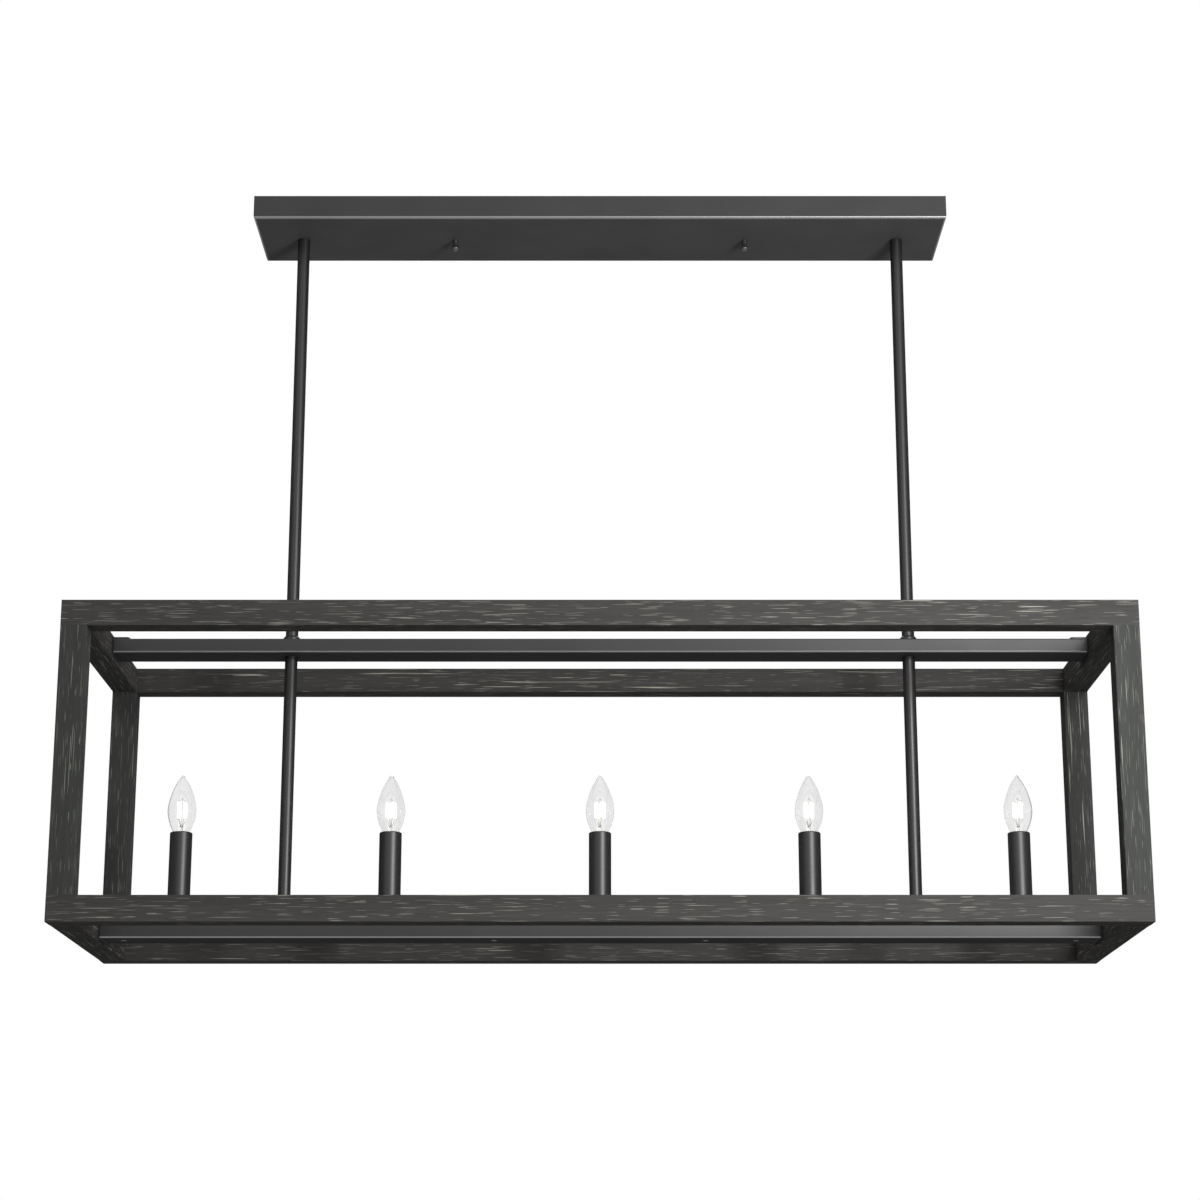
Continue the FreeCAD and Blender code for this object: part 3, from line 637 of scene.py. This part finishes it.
# ---------------------------------------------------------------- crossbars
# The upper crossbar is rectangular steel tube. The lower one is a channel closed by the plate that
# carries the lamps. Both are satin black and run between the frame's end rails.
bar_black = black_paint("bar_black", (0.03, 0.03, 0.031), 0.06, 0.46)
# A less shiny copy of the bar paint for the undersides, so they render darker: painted shade.
dull_black = black_paint("dull_black", (0.056, 0.056, 0.056), 0.008, 0.5)

for node in ("upper_crossbar", "lower_channel", "lamp_plate"):
    bar = dress(pressed(node + "_steel", node, 0), "fixture", bar_black, "satin_black_paint", node)
    # The lower bends get the painted highlight line.
    paint_faces(bar, rubbed_black, lower_bend)
    # The undersides get the painted shade copy of the paint.
    paint_faces(bar, dull_black, facing_down)


# ---------------------------------------------------------------- end brackets and screws
# Folded steel angle brackets hold the crossbars' ends to the end rails: wood screws go through the
# bar's hollow end into the rail, and a machine screw holds the tab down on the bar.
def blackened_steel():
    """Black-oxide steel, slightly brown where it is handled."""
    material, tree, shader = new_finish("blackened_steel", Metallic=0.7)
    cloud = speckle(tree, place_on(tree), 700)
    mottle(tree, shader, ramp(tree, cloud, 0.3, 0.7), (0.02, 0.02, 0.02), (0.045, 0.042, 0.04))
    tree.links.new(ramp(tree, cloud, 0.3, 0.7, 0.3, 0.42), shader.inputs["Roughness"])
    return material


screw_black = blackened_steel()
brackets = pressed("angle_brackets", "end_brackets", fold_ease)
dress(brackets, "fixture", bar_black, "satin_black_paint", "end_brackets")

wood_low, wood_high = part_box("bracket_wood_screws")
tab_low, tab_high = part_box("bracket_tab_screws")
tab_radius = 2.0 * MM
pan_radius = (tab_high.y - tab_low.y) / 2
pan_height = 2.2 * MM
wood_spacing = (wood_high.y - wood_low.y) / 2 - pan_radius
wood_head_x = 0.4934
wood_shank, wood_pitch, wood_point = 1.75 * MM, 1.8 * MM, 3.0 * MM
wood_length = wood_high.x - wood_head_x
bar_middle = (upper_bar[1].z - upper_bar[0].z) / 2
bar_middles = (upper_bar[0].z + bar_middle, plate_high.z - bar_middle)
screw = pan_screw("screw", pan_radius, pan_height, wood_shank, wood_length, wood_pitch, wood_point)
wood_places = [((side * wood_head_x, end * wood_spacing, level), (0, side * math.pi / 2, 0))
               for side in (-1, 1) for end in (-1, 1) for level in bar_middles]
lay_out("wood_screws", screw, wood_places, screw_black, "black_screws", "bracket_wood_screws")

tab_x = tab_high.x - pan_radius
tab_levels = (tab_high.z - pan_height, tab_high.z - pan_height - (upper_bar[1].z - plate_high.z))
tab_length, tab_pitch = 6.9 * MM, 0.7 * MM
screw = pan_screw("screw", pan_radius, pan_height, tab_radius, tab_length, tab_pitch)
tab_places = [((side * tab_x, 0, level), (math.pi, 0, 0)) for side in (-1, 1) for level in tab_levels]
lay_out("tab_screws", screw, tab_places, screw_black, "black_screws", "bracket_tab_screws")


# ---------------------------------------------------------------- channel screws
# Four countersunk screws come up through the channel's floor into the lamp plate's posts, with
# their heads flush with the underside.
def sunk_screw(name, head, shank, cone, length):
    """A countersunk cross-recess screw, face down, from its face upwards."""
    arm, width, depth = 0.55 * head, 0.3 * head, 0.9 * cone
    pitch, run_in, run_out = 0.5 * MM, 0.3 * MM, 0.2 * MM
    face = cross_recess(arm, width, depth, cone)
    outline = [(0, depth)]
    rows = 10
    for row in range(1, rows + 1):
        radius = head * row / rows
        height = face(radius, cone)
        outline.append((radius, lambda angle, height=height: cone - height(angle)))
    outline += [(shank, cone)]
    outline += thread(shank, 0.2 * shank, pitch, cone + run_in, length - run_out)
    outline += [(0, length)]
    return turned(name, outline, screw_sides, screw_sharp_angle, closed=False)


sunk_low, sunk_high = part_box("channel_screws")
sunk_head = (sunk_high.y - sunk_low.y) / 2
sunk_shank = 1.5 * MM
channel_floor = 1.2 * MM
screw = sunk_screw("screw", sunk_head, sunk_shank, channel_floor, sunk_high.z - sunk_low.z)
lamp_pitch = lamp_places[1] - lamp_places[0]
sunk_places = [((side * x, 0, sunk_low.z), UPRIGHT) for side in (-1, 1)
               for x in (lamp_pitch / 2, sunk_high.x - sunk_head)]
lay_out("floor_screws", screw, sunk_places, screw_black, "black_screws", "channel_screws")


# ---------------------------------------------------------------- timber frame
# Twelve members of inch-square timber, wire-brushed to open the grain, stained charcoal, with pale
# filler left in the pores. Long rails run through; posts and end rails butt between them.
def charcoal_timber(name, turn, shift, tint):
    """Charcoal stain over open grain that runs along the pattern's X axis."""
    material, tree, shader = new_finish(name)
    growth = speckle(tree, place_on(tree, (2.0, 60, 60), shift, turn), 1, 3)
    fibre = speckle(tree, place_on(tree, (30, 1500, 1500), shift, turn), 1, 4, 0.6)
    clusters = speckle(tree, place_on(tree, (8, 90, 90), shift, turn), 1, 3)
    streaks = speckle(tree, place_on(tree, (18, 1400, 1400), shift, turn), 1, 0)
    dashes = speckle(tree, place_on(tree, (42, 1900, 1900), shift, turn), 1, 0)

    def stained(red, green, blue):
        """A colour as this member took the stain."""
        return red * tint[0], green * tint[1], blue * tint[2]
    ground = blend_colours(tree, ramp(tree, growth, 0.3, 0.7), stained(0.069, 0.0665, 0.0637),
                           stained(0.080, 0.0775, 0.0748))
    brushed = blend_colours(tree, ramp(tree, fibre, 0.3, 0.7, 0.0, 0.45), ground,
                            stained(0.040, 0.038, 0.036))
    crowd = ramp(tree, clusters, 0.42, 0.60, 0.08, 1.0)
    strong = put(tree, "ShaderNodeMath", {"operation": "MULTIPLY"})
    tree.links.new(ramp(tree, streaks, 0.74, 0.775), strong.inputs[0])
    tree.links.new(crowd, strong.inputs[1])
    pale = blend_colours(tree, strong.outputs[0], brushed, stained(0.50, 0.48, 0.42))
    weak = ramp(tree, dashes, 0.725, 0.76, 0.0, 0.85)
    mottle(tree, shader, weak, pale, stained(0.30, 0.29, 0.265))
    pores = put(tree, "ShaderNodeMath", {"operation": "SUBTRACT"})
    tree.links.new(fibre, pores.inputs[0])
    tree.links.new(strong.outputs[0], pores.inputs[1])
    emboss(tree, shader, pores.outputs[0], 0.00025, 0.4)
    sheen(tree, shader, 0.006, ramp(tree, fibre, 0.3, 0.7, 0.52, 0.68))
    return material


ALONG_X = (0, 0, 0)
ALONG_Y = (0, 0, -math.pi / 2)
ALONG_Z = (0, math.pi / 2, 0)
members = {}
for level in ("top", "bottom"):
    for depth in ("front", "back"):
        members[f"long_rail_{level}_{depth}"] = (ALONG_X, (1.0, 1.0, 1.0))
    for side in ("left", "right"):
        members[f"end_rail_{level}_{side}"] = (ALONG_Y, (0.97, 0.98, 0.98))
for depth in ("front", "back"):
    for side in ("left", "right"):
        members[f"post_{depth}_{side}"] = (ALONG_Z, (0.88, 0.95, 0.93))
pattern_steps = (0.137, 0.053, 0.071)    # metres from one member's pattern to the next one's


def refinish(node, finish):
    """Give a CAD node that stays its finish."""
    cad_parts[node].data.materials.clear()
    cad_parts[node].data.materials.append(finish)


for number, (node, (turn, tint)) in enumerate(members.items()):
    shift = tuple(step * number for step in pattern_steps)
    refinish(node, charcoal_timber(node + "_wood", turn, shift, tint))


def bare_beech():
    """Pale beech with short darker flecks."""
    material, tree, shader = new_finish("bare_beech", Roughness=0.6)
    fleck = speckle(tree, place_on(tree, (300, 300, 1500)), 1)
    mottle(tree, shader, ramp(tree, fleck, 0.4, 0.7), (0.36, 0.22, 0.11), (0.25, 0.14, 0.07))
    return material


# The loose tenons stay in their mortises, out of sight.
refinish("loose_tenons", bare_beech())


# ---------------------------------------------------------------- lampholders and their legs
# Each moulded black lampholder has a threaded shell and a spring contact in its bore, and stands on
# a folded steel leg that a nipple clamps to the lamp plate.
def black_moulding():
    """Phenolic moulding with a dull, slightly mottled skin."""
    material, tree, shader = new_finish("black_moulding")
    cloud = speckle(tree, place_on(tree), 400, 3)
    mottle(tree, shader, ramp(tree, cloud, 0.3, 0.7), (0.012, 0.012, 0.012), (0.022, 0.021, 0.02))
    tree.links.new(ramp(tree, cloud, 0.3, 0.7, 0.42, 0.55), shader.inputs["Roughness"])
    return material


def nickel_plate():
    """Bright nickel, a little warm, dulled by fine drawing marks."""
    material, tree, shader = new_finish("nickel_plate", Metallic=1.0)
    marks = speckle(tree, place_on(tree, (400, 400, 5000)), 1)
    mottle(tree, shader, ramp(tree, marks, 0.3, 0.7), (0.55, 0.52, 0.46), (0.66, 0.62, 0.55))
    tree.links.new(ramp(tree, marks, 0.3, 0.7, 0.2, 0.32), shader.inputs["Roughness"])
    return material


socket_pitch = 2.54 * MM


def rolled(level, angle):
    """How far a thread rolled in thin shell stands out: 1 on its crests, -1 in its roots."""
    return math.sin(2 * math.pi * (level / socket_pitch - angle / (2 * math.pi)))


moulding = black_moulding()
nickel = nickel_plate()
legs = pressed("lamp_legs", "lampholder_legs", fold_ease)
dress(legs, "fixture", zinc, "zinc_plated_steel", "lampholder_legs")
holder_radius = 7.8 * MM
holder_step = 0.7 * MM
holder_shoulder, holder_waist = 0.55, 0.57    # shares of its height
shell_outer = 6.6 * MM
shell_inner = 6.15 * MM
shell_height = 13.0 * MM
shell_wave = 0.16 * MM
shell_slip = 0.02 * MM
shell_rows = 30
contact_radius = 1.8 * MM
contact_height = 0.5 * MM
cap_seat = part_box("bulb_1_cap")[0].z
for number, x in enumerate(lamp_places, 1):
    node = f"lampholder_{number}"
    low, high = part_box(node)
    height = high.z - low.z
    floor = cap_seat - contact_height - low.z
    body = turned(node + "_moulding", [
        (0, 0),
        (holder_radius - holder_step, 0),
        (holder_radius, holder_step),
        (holder_radius, height * holder_shoulder),
        (holder_radius - holder_step, height * holder_waist),
        (holder_radius - holder_step, height - holder_step),
        (holder_radius - 1.5 * holder_step, height),
        (shell_outer, height),
        (shell_outer, floor),
        (0, floor),
    ], 48, 30, closed=False)
    dress(moved(body, (x, 0, low.z)), "fixture", moulding, "black_moulding", node)
    levels = [height - shell_height * row / shell_rows for row in range(shell_rows + 1)]
    shell = turned(node + "_shell", [
        (shell_outer - shell_slip, height - shell_height),
        (shell_outer - shell_slip, height),
        *[(lambda angle, level=level: shell_inner - shell_wave * rolled(level, angle), level)
          for level in levels],
    ], 32, 60)
    dress(moved(shell, (x, 0, low.z)), "fixture", nickel, "nickel_cap")
    contact = turned(node + "_contact", [
        (0, floor),
        (contact_radius, floor),
        (contact_radius, floor + contact_height * 0.6),
        (contact_radius * 0.6, floor + contact_height),
        (0, floor + contact_height),
    ], 24, closed=False)
    dress(moved(contact, (x, 0, low.z)), "fixture", nickel, "nickel_cap")


# ---------------------------------------------------------------- candle sleeves
# Drawn steel sleeves in smooth satin black slip over the lampholders and stand on the lamp plate.
# Their top edges are rolled in to a round mouth for the bulb.
sleeve_black = black_paint("sleeve_black", (0.01, 0.01, 0.0105), 0.064, 0.41, 0.00001)
sleeve_wall = 0.8 * MM
mouth_radius = 8.7 * MM
roll_radius = 1.3 * MM
sleeve_proud = 0.7 * MM
roll_steps = 8
for number, (low, high) in enumerate(sleeve_boxes, 1):
    node = f"candle_sleeve_{number}"
    radius = (high.x - low.x) / 2
    height = high.z - low.z + sleeve_proud
    centre = radius - roll_radius
    turns = [math.radians(90 * step / roll_steps) for step in range(roll_steps + 1)]
    outer = [(centre + roll_radius * math.cos(turn), height - roll_radius * (1 - math.sin(turn)))
             for turn in turns] + [(mouth_radius, height)]
    inside = roll_radius - sleeve_wall
    inner = [(centre + inside * math.cos(turn), height - roll_radius + inside * math.sin(turn))
             for turn in turns] + [(mouth_radius, height - sleeve_wall)]
    outline = [(radius - sleeve_wall, 0), (radius, 0)] + outer + inner[::-1]
    sleeve = moved(turned(node + "_steel", outline, 72, 40), ((low.x + high.x) / 2, 0, low.z))
    dress(sleeve, "fixture", sleeve_black, "satin_black_sleeve", node)


# ---------------------------------------------------------------- bulbs
# Each bulb is a clear blown torpedo on a small nickel screw cap. Inside, a glass stem carries a
# ring of four phosphor-coated filament bars between fine leads. Each screws into its lampholder.
def clear_glass():
    """Blown glass, faintly uneven in tone."""
    material, tree, shader = new_finish("clear_glass", Roughness=0.0, Transmission_Weight=1.0, IOR=1.45)
    ripple = speckle(tree, place_on(tree, (1, 1, 0.4)), 60, 1)
    mottle(tree, shader, ramp(tree, ripple, 0.3, 0.7), (0.90, 0.90, 0.90), (0.93, 0.93, 0.93))
    return material


def phosphor():
    """Pale coating on the filament bars, slightly grainy."""
    material, tree, shader = new_finish("phosphor", Roughness=0.6, Emission_Strength=2.4)
    grain = speckle(tree, place_on(tree), 4000)
    tone = mottle(tree, shader, ramp(tree, grain, 0.3, 0.7), (0.95, 0.93, 0.86), (0.85, 0.8, 0.66))
    tree.links.new(tone, shader.inputs["Emission Color"])
    return material


def insulator_glass():
    """Black glass ring under the cap."""
    material, tree, shader = new_finish("insulator_glass", Coat_Weight=0.5)
    cloud = speckle(tree, place_on(tree), 900)
    tree.links.new(ramp(tree, cloud, 0.3, 0.7, 0.12, 0.2), shader.inputs["Roughness"])
    mottle(tree, shader, cloud, (0.01, 0.01, 0.012), (0.02, 0.02, 0.024))
    return material


def lead_wire():
    """Thin drawn wire, grey-brown from the sealing flame."""
    material, tree, shader = new_finish("lead_wire", Metallic=0.9, Roughness=0.35)
    stain = speckle(tree, place_on(tree), 500)
    mottle(tree, shader, ramp(tree, stain, 0.35, 0.65), (0.30, 0.26, 0.17), (0.42, 0.40, 0.36))
    return material


glass = clear_glass()
coating = phosphor()
insulation = insulator_glass()
wire = lead_wire()
tip_height = 59.4 * MM
widest_height = 23.4 * MM
bulb_radius = 14.4 * MM
shoulder_radius = 7.6 * MM
neck_radius = 5.3 * MM
neck_depth = 9.5 * MM
glass_wall = 0.8 * MM
torch_power, torch_fullness, torch_crowding = 1.6, 0.79, 1.7
tip_round = 2.3 * MM


def torpedo(inset, steps):
    """(radius, height above the sleeve) of the glass from its tip to its neck, inset by the wall."""
    points = [(0, tip_height - inset)]
    torch = tip_height - widest_height - inset
    for step in range(1, steps + 1):
        rise = 1 - (step / steps) ** torch_crowding
        radius = (bulb_radius - inset) * (1 - rise ** torch_power) ** torch_fullness
        depth = torch * (1 - rise)
        if depth < tip_round - inset:
            radius = max(radius, math.sqrt(depth * (2 * (tip_round - inset) - depth)))
        points.append((radius, widest_height + torch * rise))
    shoulder = math.acos(shoulder_radius / bulb_radius)
    for step in range(1, steps // 2 + 1):
        fall = 2 * step / steps
        points.append((bulb_radius * math.cos(shoulder * fall) - inset, widest_height * (1 - fall)))
    points.append((neck_radius - inset, -0.45 * neck_depth))
    points.append((neck_radius - inset, -neck_depth))
    return points


def rod_between(work, start, end, radius):
    """A thin round rod between two points."""
    sides = 10
    turns = [2 * math.pi * step / sides for step in range(sides)]
    lean = (Vector(end) - Vector(start)).to_track_quat("Z", "X")
    rings = []
    for place in (start, end):
        rings.append([work.verts.new(Vector(place) + lean @ Vector((
            radius * math.cos(turn), radius * math.sin(turn), 0))) for turn in turns])
    for step in range(sides):
        after = (step + 1) % sides
        work.faces.new((rings[0][step], rings[0][after], rings[1][after], rings[1][step]))
    work.faces.new(rings[0][::-1])
    work.faces.new(rings[1])


def wires(name, runs, radius):
    """Several thin rods as one piece."""
    work = bmesh.new()
    for start, end in runs:
        rod_between(work, start, end, radius)
    mesh = bpy.data.meshes.new(name)
    work.to_mesh(mesh)
    work.free()
    mesh.shade_smooth()
    mesh.set_sharp_from_angle(angle=math.radians(40))
    return stand(name, mesh)


def above(place, height):
    """The point at a height above a place."""
    return place + Vector((0, 0, height))


sleeve_top = sleeve_boxes[0][1].z
cap_cone = 3.2 * MM              # height of the insulator's taper under the cap
cap_taper = 0.9 * MM
cap_floor = 0.6 * MM
cap_wave = 0.35 * MM
cap_lip, cap_flare, cap_ease = 1.6 * MM, 0.4 * MM, 0.3 * MM
cap_bore = neck_radius + 0.05 * MM
thread_margins = 1.2 * MM        # plain shell below and above the thread, together
thread_rows = 40
cap_tip = 0.45 * MM
flange_radius, flange = 5.15 * MM, 0.6 * MM
stem_top = 7.5 * MM
mast_top = 36 * MM
filament_circle = 4.2 * MM
filament_radius = 1.1 * MM
filament_turns = (40, 22, 20, 25, 18)
filament_low, filament_high = 16 * MM, 31 * MM
loop, hold = 1.2 * MM, 0.3 * MM  # how far a lead runs past a bar's end, and along it
hook_radius, lead_radius = 0.11 * MM, 0.2 * MM
for number, x in enumerate(lamp_places, 1):
    body = f"bulb_{number}"
    place = (x, 0, sleeve_top)
    outline = torpedo(0, 40) + torpedo(glass_wall, 40)[::-1]
    envelope = turned(body + "_envelope", outline, 72, 50, closed=False)
    dress(moved(envelope, place), body, glass, "clear_glass", body + "_glass")

    low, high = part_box(body + "_cap")
    cap_radius = (high.x - low.x) / 2
    rim = high.z - low.z
    lip = rim - cap_lip
    levels = [cap_cone + cap_floor + (lip - cap_cone - thread_margins) * row / thread_rows
              for row in range(thread_rows + 1)]
    cap = turned(body + "_shell", [
        (cap_radius - cap_taper, cap_cone),
        *[(lambda angle, level=level: cap_radius - cap_wave * (1 - rolled(level, angle)) / 2, level)
          for level in levels],
        (cap_radius - cap_wave, lip),
        (cap_radius, lip + cap_flare),
        (cap_radius, rim - cap_ease),
        (cap_radius - cap_ease, rim),
        (cap_bore, rim),
        (cap_bore, cap_cone + cap_floor),
        (0, cap_cone + cap_floor),
        (0, cap_cone),
    ], 48, 60)
    dress(moved(cap, (x, 0, low.z)), body, nickel, "nickel_cap", body + "_cap")
    base = turned(body + "_insulator", [
        (0, cap_tip),
        (1.7 * MM, cap_tip),
        (cap_radius - cap_taper, cap_cone),
        (0, cap_cone),
    ], 48, 30, closed=False)
    dress(moved(base, (x, 0, low.z)), body, insulation, "black_moulding")
    tip = turned(body + "_tip", [
        (0, 0),
        (0.9 * MM, 0.05 * MM),
        (1.6 * MM, cap_tip),
        (0, cap_tip),
    ], 24, 60, closed=False)
    dress(moved(tip, (x, 0, low.z)), body, nickel, "nickel_cap")

    stem = turned(body + "_stem", [
        (0, -neck_depth - flange),
        (flange_radius, -neck_depth - flange),
        (flange_radius, -neck_depth),
        (4.35 * MM, -neck_depth),
        (4.2 * MM, -neck_depth + 2.0 * MM),
        (2.6 * MM, -neck_depth + 5.5 * MM),
        (1.9 * MM, -neck_depth + 9.0 * MM),
        (1.7 * MM, stem_top - 3.0 * MM),
        (1.9 * MM, stem_top - 1.2 * MM),
        (1.2 * MM, stem_top - 0.2 * MM),
        (0, stem_top),
    ], 32, 60, closed=False)
    dress(moved(stem, place), body, glass, "clear_glass", body + "_filaments")
    bars, leads = [], []
    hooks = [((0, 0, stem_top - 2 * MM), (0, 0, mast_top))]
    for quarter in range(4):
        turn = math.radians(filament_turns[number - 1] + 90 * quarter)
        corner = Vector((filament_circle * math.cos(turn), filament_circle * math.sin(turn), 0))
        head = above(corner, filament_high + loop)
        foot = above(corner, filament_low - loop)
        bars.append((above(corner, filament_low), above(corner, filament_high)))
        hooks.append((above(corner, filament_high - hold), head))
        hooks.append((head, Vector((0, 0, mast_top - 0.4 * MM))))
        leads.append((above(corner, filament_low + hold), foot))
        leads.append((foot, Vector((corner.x * 0.2, corner.y * 0.2, stem_top - 1.0 * MM))))
    for part, runs, radius, finish in (("bars", bars, filament_radius, coating),
                                       ("hooks", hooks, hook_radius, wire),
                                       ("leads", leads, lead_radius, wire)):
        dress(moved(wires(f"{body}_{part}", runs, radius), place), body, finish, "filament")


# ---------------------------------------------------------------- floor, light and camera
# A pale floor lies well below, in a plain white surround. A soft key light stands in front at the
# right, level with the frame, and a broad one high behind lights the other sides. Two dark boards
# beside the set show only in reflections.
def clear_sight(tree):
    """1 for rays that show the surroundings to the eye, directly, mirrored or through glass."""
    ray = put(tree, "ShaderNodeLightPath").outputs
    first = put(tree, "ShaderNodeMath", {"operation": "MAXIMUM"})
    tree.links.new(ray["Is Camera Ray"], first.inputs[0])
    tree.links.new(ray["Is Glossy Ray"], first.inputs[1])
    both = put(tree, "ShaderNodeMath", {"operation": "MAXIMUM"})
    tree.links.new(first.outputs[0], both.inputs[0])
    tree.links.new(ray["Is Transmission Ray"], both.inputs[1])
    return both.outputs[0]


def floor_finish():
    """Pale matt floor that keeps shadows."""
    material, tree, shader = new_finish("pale_floor", Base_Color=(0.6, 0.6, 0.6, 1), Roughness=0.9,
                                        Specular_IOR_Level=0.0, Emission_Color=(1, 1, 1, 1))
    tree.links.new(ramp(tree, clear_sight(tree), 0, 1, 0.0, 0.74), shader.inputs["Emission Strength"])
    return material


def flat_board(name, corners, finish):
    """A flat board between four corners."""
    mesh = bpy.data.meshes.new(name)
    mesh.from_pydata(corners, [], [(0, 1, 2, 3)])
    mesh.materials.append(finish)
    return stand(name, mesh)


floor_level, floor_reach = -3.0, 20.0
floor = flat_board("floor", [(x * floor_reach, y * floor_reach, floor_level)
                             for x, y in ((-1, -1), (1, -1), (1, 1), (-1, 1))], floor_finish())
floor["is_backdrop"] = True


def dark_flag(name, x):
    """A dark board beside the set that only reflections see.

    It gives the round steel and the bulbs their dark edges.
    """
    near, far, foot, head = -1.1, 6.0, -2.1, 3.0
    finish = new_finish(name, Base_Color=(0.1, 0.1, 0.1, 1), Roughness=0.9, Specular_IOR_Level=0.0,
                        Emission_Color=(1, 1, 1, 1), Emission_Strength=0.3)[0]
    corners = [(x, near, foot), (x, far, foot), (x, far, head), (x, near, head)]
    flag = flat_board(name, corners, finish)
    flag.visible_camera = flag.visible_diffuse = False
    flag.visible_transmission = flag.visible_shadow = False
    flag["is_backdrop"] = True


flag_distance = 1.5
dark_flag("flag_left", -flag_distance)
dark_flag("flag_right", flag_distance)

fill_level = 0.28
world = bpy.data.worlds.new("surround")
bpy.context.scene.world = world
world.use_nodes = True
sky = world.node_tree
background = sky.nodes["Background"]
background.inputs["Color"].default_value = (1, 1, 1, 1)
sky.links.new(ramp(sky, clear_sight(sky), 0, 1, fill_level, 1.0), background.inputs["Strength"])


def soft_light(name, place, aim, width, height, power):
    """A rectangular soft box aimed at a point."""
    lamp = bpy.data.lights.new(name, "AREA")
    lamp.shape = "RECTANGLE"
    lamp.size, lamp.size_y, lamp.energy = width, height, power
    box = bpy.data.objects.new(name, lamp)
    bpy.context.scene.collection.objects.link(box)
    box.location = place
    box.rotation_euler = (Vector(aim) - Vector(place)).to_track_quat("-Z", "Y").to_euler()


inside_frame = (0, 0, -0.5)
soft_light("key", (0.66, -1.25, -0.45), inside_frame, width=0.4, height=0.85, power=18)
soft_light("back", (0, 1.7, 1.1), inside_frame, width=1.2, height=0.8, power=22)

camera = bpy.data.cameras.new("camera")
camera.lens = 80.05
camera.sensor_width = 36
viewer = bpy.data.objects.new("camera", camera)
bpy.context.scene.collection.objects.link(viewer)
viewer.location = (0, -2.6485, -1.1311)
look_up = 14.989                 # degrees above level
viewer.rotation_euler = (math.radians(90 + look_up), 0, 0)
bpy.context.scene.camera = viewer
bpy.context.scene.view_settings.view_transform = "Standard"

low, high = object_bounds()
